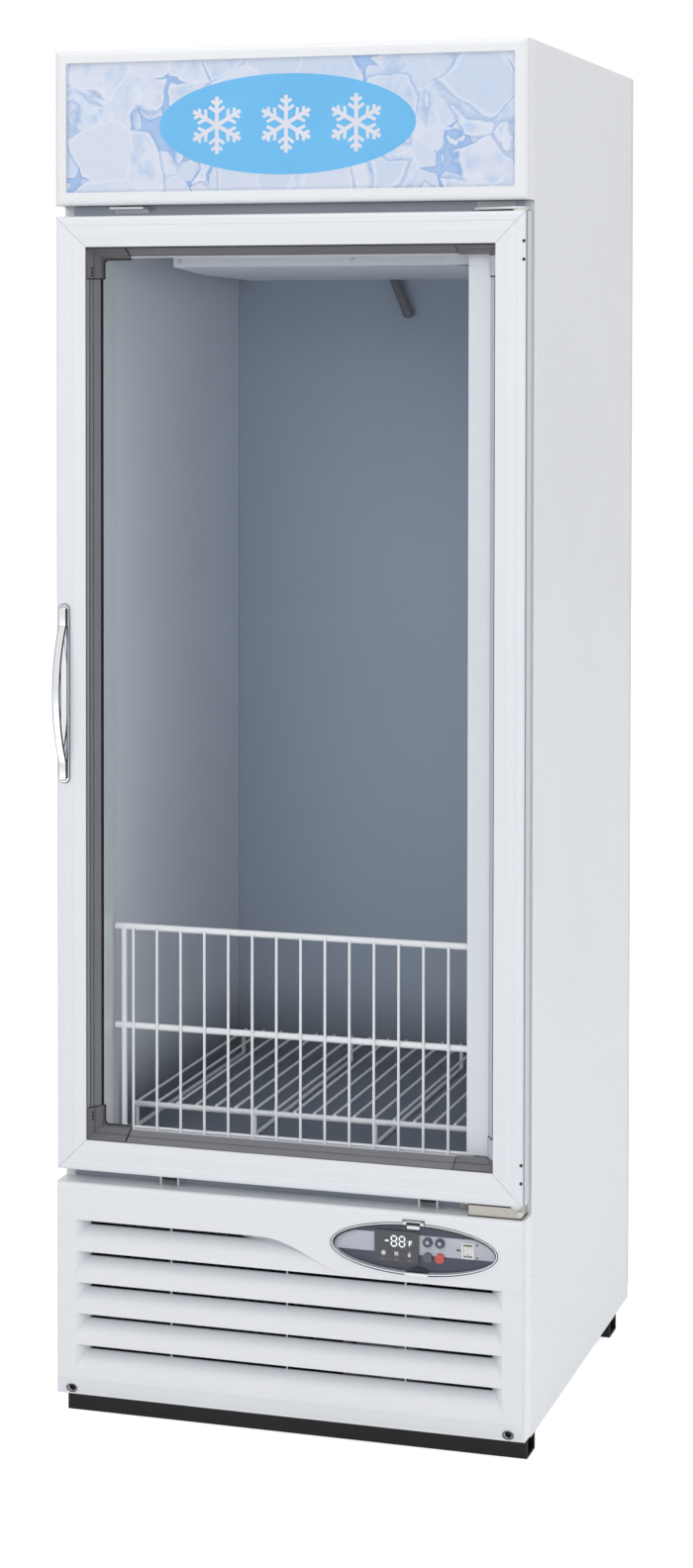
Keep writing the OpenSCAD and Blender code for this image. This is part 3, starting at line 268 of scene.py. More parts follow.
def finishSurface(make, look, colour):
    # one principled finish over a colour: an uneven gloss and a fine bump
    vector = make.coords(look.get("stretch", (1, 1, 1)))
    grain = make.noise(vector, look["grainScale"], look.get("grainDetail", 2.0))
    shader = make.add("BsdfPrincipled", Base_Color=colour)
    make.set(shader, "Roughness", make.between(grain, 0.3, 0.7, *look["gloss"]))
    make.set(shader, "Normal", make.bump(grain, look["bump"], look.get("grainHeight", 0.0001)))
    for key, value in look.get("sockets", {}).items():
        shader.inputs[key].default_value = value
    return make.finish(shader.outputs["BSDF"])


def addSurface(name, look):
    make = NodeMaker(name)
    cloud = make.noise(make.coords(look.get("stretch", (1, 1, 1))), look.get("cloudScale", 4.0), 3.0)
    return finishSurface(make, look, make.blend(make.between(cloud, 0.35, 0.65), look["tone"], look["toneB"]))


def dressNodes(names, material):
    for name in names:
        for slot in nodes[name].material_slots:
            slot.material = material


def dressPlain(looks):
    # makes each finish and puts it on the nodes that its look lists
    for name, look in looks.items():
        dressNodes(look["on"], addSurface(name, look))


print("materials: painted and moulded whites")
mouldingLook = makeLook(236, 237, 240, 3, grainScale=1100, gloss=(0.22, 0.32), bump=0.08,
                        sockets={"Coat Weight": 0.25, "Coat Roughness": 0.1})
moulding = addSurface("whiteMoulding", mouldingLook)
dressNodes(["breaker_trim"], moulding)
linerLook = makeLook(236, 240, 246, 4, grainScale=500, gloss=(0.38, 0.5), bump=0.05, cloudScale=2.0)
coverEnamel = addSurface("coverEnamel", linerLook)
dressNodes(["evaporator_cover"], coverEnamel)
dressPlain({
    "whiteEnamel": makeLook(233, 235, 238, 3, grainScale=700, gloss=(0.26, 0.36), bump=0.12,
                            grainHeight=0.00012, sockets={"Coat Weight": 0.15, "Coat Roughness": 0.12},
                            on=["side_panel_left", "side_panel_right", "top_panel", "back_panel",
                                "rear_vent_panel", "hinge_top", "blank_bracket"]),
    # the face frame's grey-blue tone is partly painted shade, for the gaps round the door
    "coilSteelShaded": makeLook(158, 166, 178, 6, grainScale=600, gloss=(0.12, 0.2), bump=0.06,
                          sockets={"Metallic": 0.3}, on=["face_frame"]),
    "wireCoat": makeLook(248, 248, 250, 3, grainScale=1500, gloss=(0.25, 0.4), bump=0.15, grainHeight=0.00015,
                         on=["front_guard", "floor_rack"]),
})


def makeHeaderWhite():
    # white, with the underside over the door in shade
    look = {**mouldingLook, "under": rgb(84, 88, 98), "underDepth": (7.0, 11.0),
            "underRise": (0.0003, 0.0009)}
    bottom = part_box("header_frame")[0].z
    make = NodeMaker("headerWhite")
    axes = make.axes()
    under = make.overlap(make.between(axes["Z"], *(bottom + rise for rise in look["underRise"]), 1.0, 0.0),
                         make.between(axes["Y"], *(depth(d) for d in look["underDepth"])))
    return finishSurface(make, look, make.blend(under, make.cloudy(look), look["under"]))


dressNodes(["header_frame"], makeHeaderWhite())


def makeLouvreWhite():
    # the same white, with painted shade: greyer down in the scoops and unlit behind the slots
    look = {**mouldingLook, "front": 3.0, "deep": 14.5, "slot": 15.3, "inside": 17.2,
            "scoop": rgb(198, 202, 208), "unlit": rgb(26, 27, 30), "edge": 0.0032, "top": 0.341}
    low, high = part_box("grille_panel")
    make = NodeMaker("louvreWhite")
    x, y, z = (make.axes()[axis] for axis in "XYZ")
    edge, step = look["edge"], look["edge"] + 0.001
    within = make.overlap(make.between(make.math("ABSOLUTE", x), high.x - step, high.x - edge, 1.0, 0.0),
                          make.between(z, low.z + edge, low.z + step),
                          make.between(z, look["top"] - step, look["top"] - edge, 1.0, 0.0))
    sunk = make.overlap(within, make.between(y, depth(look["front"]), depth(look["deep"])))
    inside = make.overlap(within, make.between(y, depth(look["slot"]), depth(look["inside"])))
    tone = make.blend(inside, make.blend(sunk, make.cloudy(look), look["scoop"]), look["unlit"])
    return finishSurface(make, look, tone)


dressNodes(["grille_panel"], makeLouvreWhite())


def makeDoorPaint():
    # satin white extrusion; its outer side faces carry painted shade, a cooler grey with a darker band just
    # behind the front edge
    look = makeLook(234, 236, 240, 3, grainScale=900, gloss=(0.28, 0.38), bump=0.1, side=rgb(206, 211, 222),
                    sideInset=(0.0006, 0.0002), line=rgb(92, 96, 106), lineTo=(9.0, 10.0),
                    stretch=(1, 1, 0.15))
    make = NodeMaker("doorPaint")
    across = make.math("ABSOLUTE", make.axes()["X"])
    sideShadeMask = make.between(across, *(doorHigh.x - inset for inset in look["sideInset"]))
    line = make.between(make.axes()["Y"], *(depth(d) for d in look["lineTo"]), 1.0, 0.0)
    side = make.blend(line, look["side"], look["line"])
    return finishSurface(make, look, make.blend(sideShadeMask, make.cloudy(look), side))


dressNodes(["door_stile_handle", "door_stile_hinge", "door_rail_top", "door_rail_bottom"], makeDoorPaint())


def makeLinerEnamel():
    # pale enamel with painted shade: darker and bluer towards the back, darkest on the back wall, and darker
    # on the floor under the rack
    look = {**linerLook, "back": rgb(218, 224, 232), "from": (130, 560), "floor": rgb(104, 112, 124),
            "rise": (0.010, 0.150), "floorFrom": (100, 130), "wall": rgb(160, 171, 187),
            "wallInset": (0.0030, 0.0025)}
    floorZ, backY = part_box("inner_liner")[0].z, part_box("inner_liner")[1].y
    make = NodeMaker("linerEnamel")
    axes = make.axes()
    backShade = make.between(axes["Y"], *(depth(d) for d in look["from"]))
    tone = make.blend(backShade, make.cloudy(look, look["cloudScale"]), look["back"])
    wall = make.between(axes["Y"], *(backY - inset for inset in look["wallInset"]))
    tone = make.blend(wall, tone, look["wall"])
    low = make.overlap(make.between(axes["Z"], *(floorZ + rise for rise in look["rise"]), 1.0, 0.0),
                       make.between(axes["Y"], *(depth(d) for d in look["floorFrom"])))
    return finishSurface(make, look, make.blend(low, tone, look["floor"]))


dressNodes(["inner_liner"], makeLinerEnamel())

print("materials: metals")
metal = {"Metallic": 1.0}
steel = addSurface("brushedSteel", makeLook(
    190, 190, 193, 12, stretch=(1, 1, 30), grainScale=40, grainDetail=4.0, gloss=(0.2, 0.34), bump=0.2,
    sockets=metal))
dressNodes(["closer_torsion_rod"], steel)
chromeLook = makeLook(226, 228, 232, 6, grainScale=300, gloss=(0.05, 0.1), bump=0.03, sockets=metal)
chrome = addSurface("handleChrome", chromeLook)
dressNodes(["handle_base", "handle_grip"], chrome)
silver = addSurface("ringSilver", makeLook(232, 234, 238, 5, grainScale=600, gloss=(0.14, 0.22), bump=0.06,
                                           sockets={"Metallic": 0.25}))
dressNodes(["control_bezel"], silver)


def makeBowChrome():
    # chrome with a painted reflection: its rounded flanks are painted the dark of the room
    look = {**chromeLook, "flankReflection": rgb(36, 36, 40), "turned": (0.42, 0.62)}
    make = NodeMaker("bowChrome")
    normal = make.add("SeparateXYZ", Vector=make.add("NewGeometry").outputs["Normal"]).outputs
    flankReflection = make.between(make.math("ABSOLUTE", normal["X"]), *look["turned"])
    return finishSurface(make, look, make.blend(flankReflection, look["tone"], look["flankReflection"]))


dressPlain({
    "polishedSill": makeLook(222, 224, 230, 8, stretch=(1, 40, 40), grainScale=30, grainDetail=4.0,
                             gloss=(0.1, 0.2), bump=0.1, sockets={"Metallic": 0.45}, on=["sill_plate"]),
    "galvanised": makeLook(176, 180, 186, 24, grainScale=90, grainDetail=3.0, cloudScale=38.0,
                           gloss=(0.3, 0.5), bump=0.1, sockets={"Metallic": 0.8},
                           on=["deck_panel", "base_pan", "electrical_box", "header_light_tray"]),
    "aluminiumFins": makeLook(200, 204, 208, 16, stretch=(1, 1, 12), grainScale=60, gloss=(0.25, 0.4),
                              bump=0.15, grainHeight=0.0002, sockets=metal, on=["evaporator_coil"]),
    "copperTube": makeLook(196, 122, 84, 22, grainScale=120, cloudScale=12.0, gloss=(0.22, 0.42), bump=0.1,
                           sockets=metal, on=["refrigerant_lines"]),
    "hingeBeige": makeLook(178, 175, 166, 6, stretch=(1, 30, 30), grainScale=40, gloss=(0.26, 0.4), bump=0.15,
                           sockets={"Metallic": 0.55}, on=["hinge_bottom"]),
})

print("materials: darks, rubber and plastics")
dressPlain({
    "blackEnamel": makeLook(17, 17, 18, 5, grainScale=800, gloss=(0.42, 0.56), bump=0.2, grainHeight=0.0002,
                            sockets={"Specular IOR Level": 0.3},
                            on=["base_rails", "compressor", "evaporator_fan_motors"]),
    "condenserCoat": makeLook(74, 76, 80, 14, grainScale=400, gloss=(0.4, 0.6), bump=0.2, grainHeight=0.0002,
                              on=["condenser"]),
    "fanMoulding": makeLook(62, 66, 74, 8, grainScale=900, gloss=(0.35, 0.5), bump=0.1,
                            on=["condenser_fan", "evaporator_fan_left", "evaporator_fan_right"]),
    "drainPlastic": makeLook(112, 115, 120, 10, grainScale=500, gloss=(0.4, 0.55), bump=0.15,
                             grainHeight=0.0002, on=["drain_parts"]),
    "gasketRubber": makeLook(176, 180, 186, 8, grainScale=700, gloss=(0.5, 0.65), bump=0.25,
                             grainHeight=0.0002, stretch=(1, 1, 0.3), on=["door_gasket"]),
    "bushPlastic": makeLook(226, 226, 220, 6, grainScale=900, gloss=(0.4, 0.5), bump=0.1,
                            on=["hinge_bushes"]),
    "foamSkin": makeLook(232, 217, 170, 20, grainScale=260, grainDetail=4.0, cloudScale=9.0,
                         gloss=(0.75, 0.9), bump=0.5, grainHeight=0.0008, on=["foam_insulation"]),
    "displayGlass": makeLook(66, 66, 70, 5, grainScale=700, gloss=(0.1, 0.18), bump=0.04,
                             on=["display_module"]),
})

lit = {"lit": rgb(206, 209, 215), "litWidth": 0.060, "litStep": 0.0006}
spacerLook = makeLook(138, 135, 140, 8, grainScale=500, gloss=(0.35, 0.5), bump=0.05,
                      sockets={"Metallic": 0.2}, **lit)
keyLook = makeLook(118, 116, 120, 6, grainScale=800, gloss=(0.4, 0.5), bump=0.08, **lit)


def makeSpacerGrey(name, look):
    # grey, with painted light on the upright that stands beside the lamp, as pale as the lamp cover
    make = NodeMaker(name)
    axes = make.axes()
    width, step = look["litWidth"], look["litStep"]
    bottom, top = doorLow.z + width, doorHigh.z - width
    right = make.overlap(make.between(axes["X"], doorHigh.x - width, doorHigh.x - width + step),
                         make.between(axes["Z"], bottom, bottom + step),
                         make.between(axes["Z"], top - step, top, 1.0, 0.0))
    return finishSurface(make, look, make.blend(right, make.cloudy(look), look["lit"]))


dressNodes(["spacer_bars"], makeSpacerGrey("spacerAnodised", spacerLook))
dressNodes(["spacer_corner_keys"], makeSpacerGrey("keyPlastic", keyLook))

button = {"grainScale": 900, "gloss": (0.25, 0.35), "bump": 0.08}
dressPlain({"buttonDark": makeLook(66, 66, 86, 8, **button, on=["button_up", "button_down"]),
            "buttonRed": makeLook(214, 84, 68, 12, **button, on=["button_defrost"])})
buttonGrey = addSurface("buttonGrey", makeLook(92, 94, 100, 8, **button))
dressNodes(["button_set"], buttonGrey)
rockerWhite = addSurface("rockerWhite", makeLook(246, 244, 236, 4, **button))
dressNodes(["rocker_frame", "rocker_switch"], rockerWhite)


def makeLampOpal(name, strength, white=rgb(246, 249, 252), whiteB=rgb(238, 243, 250)):
    make = NodeMaker(name)
    haze = make.noise(make.coords(), 60.0, 2.0)
    tone = make.blend(haze, white, whiteB)
    shader = make.add("BsdfPrincipled", Base_Color=tone, Roughness=0.35)
    make.set(shader, "Emission Color", tone)
    shader.inputs["Emission Strength"].default_value = strength
    return make.finish(shader.outputs["BSDF"])


dressNodes(["interior_lamp"], makeLampOpal("lampOpal", 0.08, rgb(230, 232, 237), rgb(224, 226, 232)))
dressNodes(["header_lamps"], makeLampOpal("tubeOpal", 0.6))


def makeScrewMetal():
    # bright above, and painted shade below, for the screws low in the grille panel's two recesses
    look = {"bright": rgb(196, 196, 198), "dark": rgb(38, 38, 42), "split": (0.10, 0.20), "grainScale": 400,
            "gloss": (0.22, 0.36), "bump": 0.2, "sockets": metal}
    make = NodeMaker("screwMetal")
    height = make.between(make.axes()["Z"], *look["split"])
    return finishSurface(make, look, make.blend(height, look["dark"], look["bright"]))


screwMetal = makeScrewMetal()
dressNodes(["fixing_screws"], screwMetal)


def makeClear(name, tint, shine, gloss):
    # a pane that lets light and sight through and keeps a soft reflection
    make = NodeMaker(name)
    haze = make.noise(make.coords(), 3.0, 2.0)
    dimmer = tuple(c * 0.985 for c in tint[:3]) + (1,)
    through = make.add("BsdfTransparent", Color=make.blend(haze, tint, dimmer)).outputs["BSDF"]
    mirror = make.add("BsdfGlossy", Color=(1, 1, 1, 1), Roughness=gloss).outputs["BSDF"]
    edge = make.math("MULTIPLY", make.add("Fresnel", IOR=1.45).outputs["Fac"], shine)
    return make.finish(make.mixShaders("MixShader", edge, through, mirror))


def letLightThrough(names):
    # panes cast no shadow, and bounced light passes them
    for name in names:
        nodes[name].visible_shadow = False
        nodes[name].visible_diffuse = False
        nodes[name].visible_glossy = False


panes = ["glass_outer", "glass_inner", "glass_middle"]
dressNodes(panes, makeClear("clearGlass", (0.988, 0.991, 0.992, 1), 0.06, 0.03))
dressNodes(["control_cover"], makeClear("clearCover", (0.955, 0.96, 0.975, 1), 0.25, 0.05))
letLightThrough([*panes, "control_cover"])


def makeFasciaFace():
    # dark navy face with a level silver band across it
    look = {"navy": rgb(52, 56, 82), "navyB": rgb(48, 50, 72), "band": rgb(184, 187, 197),
            "bandB": rgb(206, 208, 215), "bandFrom": -0.010, "bandTo": 0.017, "soft": 0.0004, "fade": 0.035,
            "grainScale": 900, "gloss": (0.2, 0.3), "bump": 0.05}
    low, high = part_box("control_fascia")
    middle = (low.z + high.z) / 2
    bottom, top = middle + look["bandFrom"], middle + look["bandTo"]
    make = NodeMaker("fasciaFace")
    z = make.axes()["Z"]
    within = make.overlap(make.between(z, bottom, bottom + look["soft"]),
                          make.between(z, top, top + look["soft"], 1.0, 0.0))
    fade = make.between(z, middle - look["fade"], middle + look["fade"])
    navy = make.blend(fade, look["navyB"], look["navy"])
    band = make.blend(fade, look["band"], look["bandB"])
    return finishSurface(make, look, make.blend(within, navy, band))


dressNodes(["control_fascia"], makeFasciaFace())


def makeIceSign():
    # heaped pale lumps of ice, large and small, over a sky-blue ground
    look = {"ground": rgb(150, 181, 226), "groundB": rgb(178, 202, 236), "deep": rgb(132, 166, 214),
            "chip": rgb(203, 214, 233), "chipB": rgb(218, 222, 236), "cool": rgb(178, 202, 232),
            "rim": rgb(226, 231, 243), "warp": 0.026, "warpScale": 22.0, "gloss": (0.12, 0.2), "bump": 0.04,
            "small": {"scale": 27.0, "gap": (0.50, 0.72), "gapScale": 8.0},
            "big": {"scale": 13.0, "gap": (0.46, 0.70), "gapScale": 5.0}, "gapWidth": (-0.03, 0.3),
            "hollow": (0.42, 0.68), "rimMiddle": 0.035, "rimHalf": 0.03, "rimStrength": 0.55,
            "shadeReach": -0.07, "shadeStrength": 0.5, "brink": (-0.004, 0.012)}
    make = NodeMaker("iceSign")
    flat = make.coords((1, 0, 1), (3.1, 0, 1.7))
    wander = make.add("TexNoise", Vector=flat, Scale=look["warpScale"], Detail=4.0).outputs["Color"]
    shift = make.add("VectorMath", {"operation": "SCALE"}, Scale=look["warp"])
    make.set(shift, "0", wander)
    bent = make.add("VectorMath", {"operation": "ADD"})
    make.set(bent, "0", flat)
    make.set(bent, "1", shift.outputs[0])
    bent = bent.outputs[0]
    cloud = make.noise(flat, 38.0, 6.0, 0.6)

    def addLumps(lump, under):
        cells, edges = (make.add("TexVoronoi", {"feature": kind}, Vector=bent, Scale=lump["scale"]).outputs
                        for kind in ("F1", "DISTANCE_TO_EDGE"))
        pick = make.add("SeparateColor", Color=cells["Color"]).outputs
        gap = make.between(make.noise(flat, lump["gapScale"], 2.0), *lump["gap"], *look["gapWidth"])
        inside = make.math("SUBTRACT", edges["Distance"], gap)
        tone = make.blend(pick[0], look["chip"], look["chipB"])
        hollow = make.overlap(make.between(cloud, *look["hollow"]),
                              make.between(pick[1], 0.2, 0.9, 0.15, 0.95))
        tone = make.blend(hollow, tone, look["cool"])
        fromRim = make.math("ABSOLUTE", make.math("SUBTRACT", inside, look["rimMiddle"]))
        rim = make.between(fromRim, 0.0, look["rimHalf"], look["rimStrength"], 0.0)
        tone = make.blend(rim, tone, look["rim"])
        shade = make.between(inside, look["shadeReach"], 0.0, 0.0, look["shadeStrength"])
        return make.blend(make.between(inside, *look["brink"]), make.blend(shade, under, look["deep"]), tone)

    ground = make.blend(make.noise(flat, 24.0, 3.0), look["ground"], look["groundB"])
    tone = addLumps(look["big"], addLumps(look["small"], ground))
    shader = make.add("BsdfPrincipled", Base_Color=tone)
    make.set(shader, "Roughness", make.between(make.noise(flat, 400.0), 0.3, 0.7, *look["gloss"]))
    make.set(shader, "Normal", make.bump(make.noise(flat, 800.0), look["bump"], 0.0001))
    return make.finish(shader.outputs["BSDF"])


dressNodes(["sign_panel"], makeIceSign())

# sign: an oval film with three snow crystals

print("sign: oval and crystals")
signSize = {"width": 0.372, "height": 0.140, "film": 0.0002, "crystalR": 0.040, "pitch": 0.101, "bar": 0.0056,
            "print": 0.00015, "lap": 0.006, "bead": 0.0034, "beadDepth": 0.0036, "beadSheet": 0.0004,
            "cornerR": 0.0055, "line": 0.0010, "lineDepth": 0.0006, "lineThick": 0.0004}
signMid = (signLow + signHigh) / 2
film = {"grainScale": 500, "gloss": (0.14, 0.22), "bump": 0.04}
blueFilm = addSurface("blueFilm", makeLook(108, 188, 238, 4, **film, cloudScale=9.0))
whiteFilm = addSurface("whiteFilm", makeLook(226, 226, 236, 5, **film))


def addCrystal(bm, x, z, radius, bar, y, thickness):
    # six arms, each with two pairs of side branches
    addDisc(bm, (x, y, z), bar * 0.95, thickness * 1.2, 6)
    for arm in range(6):
        turn = math.radians(90 + 60 * arm)
        along = Vector((math.cos(turn), math.sin(turn)))
        hub = Vector((x, z)) + along * bar * 0.6
        addBar(bm, hub, Vector((x, z)) + along * radius, bar, y, thickness)
        for place, length in ((0.45, 0.34), (0.72, 0.24)):
            root = Vector((x, z)) + along * radius * place
            for lean in (-1, 1):
                side = turn + lean * math.radians(55)
                tip = root + Vector((math.cos(side), math.sin(side))) * radius * length
                addBar(bm, root, tip, bar * 0.8, y, thickness * 0.9)


bm = bmesh.new()
flat = (Matrix.Translation((signMid.x, signLow.y, signMid.z)) @ Matrix.Rotation(math.pi / 2, 4, "X")
        @ Matrix.Diagonal((signSize["width"], signSize["height"], 1, 1)))
bmesh.ops.create_circle(bm, cap_ends=True, segments=96, radius=0.5, matrix=flat)
pushFaces(bm, list(bm.faces), -signSize["film"])
addPiece("sign_oval", bm, blueFilm, "cabinet")
bm = bmesh.new()
printY = signLow.y - signSize["film"] - signSize["print"] / 2
for step in (-1, 0, 1):
    addCrystal(bm, signMid.x + step * signSize["pitch"], signMid.z, signSize["crystalR"], signSize["bar"],
               printY, signSize["print"])
addPiece("sign_crystals", bm, whiteFilm, "cabinet", smooth=False)

# the sign opening's inner chamfer, with rounded corners, and at its foot a dark line of painted shade
lap = Vector((signSize["lap"], signSize["lap"]))
openLow = Vector((signLow.x, signLow.z)) + lap
openHigh = Vector((signHigh.x, signHigh.z)) - lap
bm = bmesh.new()
face = addQuad(bm, openLow, openHigh, signLow.y - signSize["beadDepth"])
bmesh.ops.inset_region(bm, faces=[face], thickness=signSize["bead"], use_even_offset=True, use_boundary=True)
bmesh.ops.translate(bm, vec=(0, signSize["beadDepth"] - 0.0003, 0), verts=face.verts)
bmesh.ops.bevel(bm, geom=list(face.verts), offset=signSize["cornerR"], segments=5, affect="VERTICES",
                profile=0.5, material=-1)
middle = max(bm.faces, key=lambda f: f.calc_area())
bmesh.ops.delete(bm, geom=[middle], context="FACES_ONLY")
bmesh.ops.recalc_face_normals(bm, faces=bm.faces)
bmesh.ops.solidify(bm, geom=list(bm.faces), thickness=signSize["beadSheet"])
addPiece("sign_chamfer", bm, moulding, "cabinet")
bm = bmesh.new()
edge = Vector((signSize["bead"] - 0.0002, signSize["bead"] - 0.0002))
addRing(bm, openLow + edge, openHigh - edge, signSize["line"], signLow.y - signSize["lineDepth"],
        signSize["lineThick"])
signEdgeShade = addSurface("signEdgeShade", makeLook(104, 114, 136, 8, grainScale=900, gloss=(0.4, 0.5), bump=0.05))
addPiece("sign_edge_shade_line", bm, signEdgeShade, "cabinet", smooth=False)

# door: mitre lines, the seal round the glass with a strip of painted shadow under the top rail, and a line of
# painted shade round the frame

print("door: seams, seal")
door = {"face": [(0.3, 3.4), (1, 1.6), (3, 0.3), (5, 0), (12, 0), (13.5, 1.2), (15, 1), (26.5, 1),
                 (39.5, 3.4), (42.5, 3.6), (43.5, 4.4)],
        "seamWidth": 0.0005, "seamProud": 0.00006, "seamThick": 0.0001, "frame": 0.0435, "paneDepth": 5,
        "sealWidth": 0.0011, "sealThick": 0.0005, "topShadow": 0.0024, "topShadowThick": 0.0004,
        "slopeShade": 0.0262, "slopeShadeWidth": 0.0006, "slopeShadeDepth": 1.0}
seamPaint = {"grainScale": 800, "gloss": (0.5, 0.6), "bump": 0.1}
seamGrey = addSurface("seamGrey", makeLook(150, 152, 158, 8, **seamPaint))
slopeShadeGrey = addSurface("slopeShadeGrey", makeLook(196, 199, 206, 6, **seamPaint))
sealBlack = addSurface("sealBlack", makeLook(14, 15, 17, 4, grainScale=900, gloss=(0.4, 0.5), bump=0.2))


def doorCorners(sides=(-1, 1)):
    # each corner of the door: which side it is on, which way is inwards in Z, and its height
    ends = ((1, doorLow.z), (-1, doorHigh.z))
    return [(sideX, sideZ, cornerZ) for sideX in sides for sideZ, cornerZ in ends]


def addDoorRing(bm, inset, width, y, thickness):
    # a rectangular frame at the same distance from all four edges of the door
    edge = Vector((inset, inset))
    addRing(bm, Vector((doorLow.x, doorLow.z)) + edge, Vector((doorHigh.x, doorHigh.z)) - edge, width, y,
            thickness)


bm = bmesh.new()
for sideX, sideZ, cornerZ in doorCorners():
    path = [Vector((sideX * (doorHigh.x - inset * mm), depth(d) - door["seamProud"],
                    cornerZ + sideZ * inset * mm))
            for inset, d in door["face"]]
    addStrip(bm, path, Vector((sideX, 0, sideZ)).normalized() * door["seamWidth"], door["seamThick"])
addPiece("door_mitre_lines", bm, seamGrey, "door", smooth=False)

bm = bmesh.new()
edge = door["frame"] - 0.0002
sealY = depth(door["paneDepth"]) - door["sealThick"]
addDoorRing(bm, edge, door["sealWidth"], sealY, door["sealThick"])
# a wider black strip along the top is painted shadow under the top rail
topZ = doorHigh.z - edge
addBox(bm, (doorLow.x + edge, sealY, topZ - door["topShadow"]),
       (doorHigh.x - edge, sealY + door["topShadowThick"], topZ))
addPiece("glass_seal_and_shadow", bm, sealBlack, "door", smooth=False)

# a pale grey line of painted shade where the frame's face bends back into its slope
bm = bmesh.new()
addDoorRing(bm, door["slopeShade"], door["slopeShadeWidth"], depth(door["slopeShadeDepth"]) - door["seamProud"],
            door["seamThick"])
addPiece("door_slope_shade_line", bm, slopeShadeGrey, "door", smooth=False)

print("door: spacer edges, corner keys")
spacer = {"front": (43.8, 9.0), "back": (56.8, 31.8), "keyHigh": 87.5, "keyWide": 100.5, "line": 0.0019,
          "proud": 0.0004, "edgeTo": 12.6, "plate": 36.15, "start": 44.5, "keyReach": 59.2, "rim": 3.0,
          "corner": 0.0050, "barReach": 59.0, "barThick": 0.00025, "topReach": 58.6}
paleEdge = addSurface("glassEdge", makeLook(150, 160, 162, 8, grainScale=700, gloss=(0.15, 0.25), bump=0.05))
keyGrey = addSurface("keyShade", {**keyLook, "bump": 0.05})


def cornerPlaces(sides=(-1, 1)):
    # each corner of the door as a function that takes the distances from its two edges, and a depth
    for sideX, sideZ, cornerZ in doorCorners(sides):
        yield lambda across, up, d: Vector((sideX * (doorHigh.x - across * mm), depth(d),
                                            cornerZ + sideZ * up * mm))


def onSpacer(d):
    # how far from the door's edge the spacer's leaning face lies at a depth
    (u0, d0), (u1, d1) = spacer["front"], spacer["back"]
    return u0 + (u1 - u0) * (d - d0) / (d1 - d0)


bm = bmesh.new()
for place in cornerPlaces():
    ends = [(onSpacer(d), d) for d in (spacer["front"][1], spacer["back"][1])]
    half = spacer["line"] / mm / 2
    high, wide = spacer["keyHigh"] + half, spacer["keyWide"] + half
    addStrip(bm, [place(u, high, d) for u, d in ends], (0, 0, spacer["line"]), spacer["proud"])
    addStrip(bm, [place(wide, u, d) for u, d in ends], (spacer["line"], 0, 0), spacer["proud"])
addPiece("key_end_lines", bm, sealBlack, "door", smooth=False)


def addUprightStrips(bm, points):
    # one on each upright spacer, as tall as the glass; points are (distance from the spacer's face, depth)
    middleZ = (doorLow.z + doorHigh.z) / 2
    for sideX in (-1, 1):
        path = [Vector((sideX * (doorHigh.x - (onSpacer(d) + proud) * mm), depth(d), middleZ))
                for proud, d in points]
        addStrip(bm, path, (0, 0, doorHigh.z - doorLow.z - 2 * door["frame"]), spacer["proud"])


# pale edge of the front pane and the dark line behind it, seen along the two upright spacers
bm = bmesh.new()
addUprightStrips(bm, [(0.2, spacer["front"][1]), (0.2, spacer["edgeTo"])])
addPiece("pane_edge_strips", bm, paleEdge, "door", smooth=False)
bm = bmesh.new()
addUprightStrips(bm, [(0.3, spacer["edgeTo"]), (0.3, spacer["edgeTo"] + 1.2)])
addPiece("pane_edge_lines", bm, sealBlack, "door", smooth=False)


def addCornerPlates(bm, reach, over, d):
    # an L-shaped plate behind the glass in the two corners on the handle side, with a rounded inner corner
    for place in cornerPlaces((-1,)):
        start, wide, high = spacer["start"], spacer["keyWide"] + over, spacer["keyHigh"] + over
        outline = [(start, start), (wide, start), (wide, reach), (reach, reach), (reach, high), (start, high)]
        verts = [bm.verts.new(place(u, v, d)) for u, v in outline]
        bm.faces.new(verts)
        bmesh.ops.bevel(bm, geom=[verts[3]], offset=spacer["corner"], segments=5, affect="VERTICES",
                        profile=0.5, material=-1)
    bmesh.ops.recalc_face_normals(bm, faces=bm.faces)
    bmesh.ops.solidify(bm, geom=list(bm.faces), thickness=0.0002)


bm = bmesh.new()
addCornerPlates(bm, spacer["keyReach"], 0.0, spacer["plate"])
addPiece("key_plates", bm, keyGrey, "door", smooth=False)
start, high = spacer["start"] * mm, doorHigh.z - spacer["start"] * mm
# a black band behind the inner pane on the handle side: painted shade of the gap behind the pane's edge
rearShadeY = depth(spacer["plate"] + 0.35)
bm = bmesh.new()
addCornerPlates(bm, spacer["keyReach"] + spacer["rim"], spacer["rim"] / 2, spacer["plate"] + 0.35)
addBox(bm, (doorLow.x + start, rearShadeY, doorLow.z + start),
       (doorLow.x + spacer["barReach"] * mm, rearShadeY + spacer["barThick"], high))
addPiece("pane_rear_shade", bm, sealBlack, "door", smooth=False)
# a pale strip behind the top spacer: a painted highlight on the pane's top edge
bm = bmesh.new()
topLow = (doorLow.x + spacer["keyWide"] * mm, depth(spacer["plate"]), doorHigh.z - spacer["topReach"] * mm)
addBox(bm, topLow, (doorHigh.x - start, topLow[1] + spacer["barThick"], high))
addPiece("pane_top_highlight", bm, moulding, "door", smooth=False)

print("door: screws in the front edge, gasket lip, key dots")
screw = {"radius": 0.0022, "edge": 0.0029, "depth": 0.1, "thick": 0.0012, "fromTop": (0.041, 0.066),
         "fromBottom": (0.034, 0.059), "socket": 0.42, "socketProud": 0.0007, "socketThick": 0.0004}
bm = bmesh.new()
for height in [doorHigh.z - z for z in screw["fromTop"]] + [doorLow.z + z for z in screw["fromBottom"]]:
    centre = Vector((doorHigh.x - screw["edge"], depth(screw["depth"]), height))
    addDisc(bm, centre, screw["radius"], screw["thick"], 24)
    addDisc(bm, centre - Vector((0, screw["socketProud"], 0)), screw["radius"] * screw["socket"],
            screw["socketThick"], 6)
addPiece("door_edge_screws", bm, sealBlack, "door")

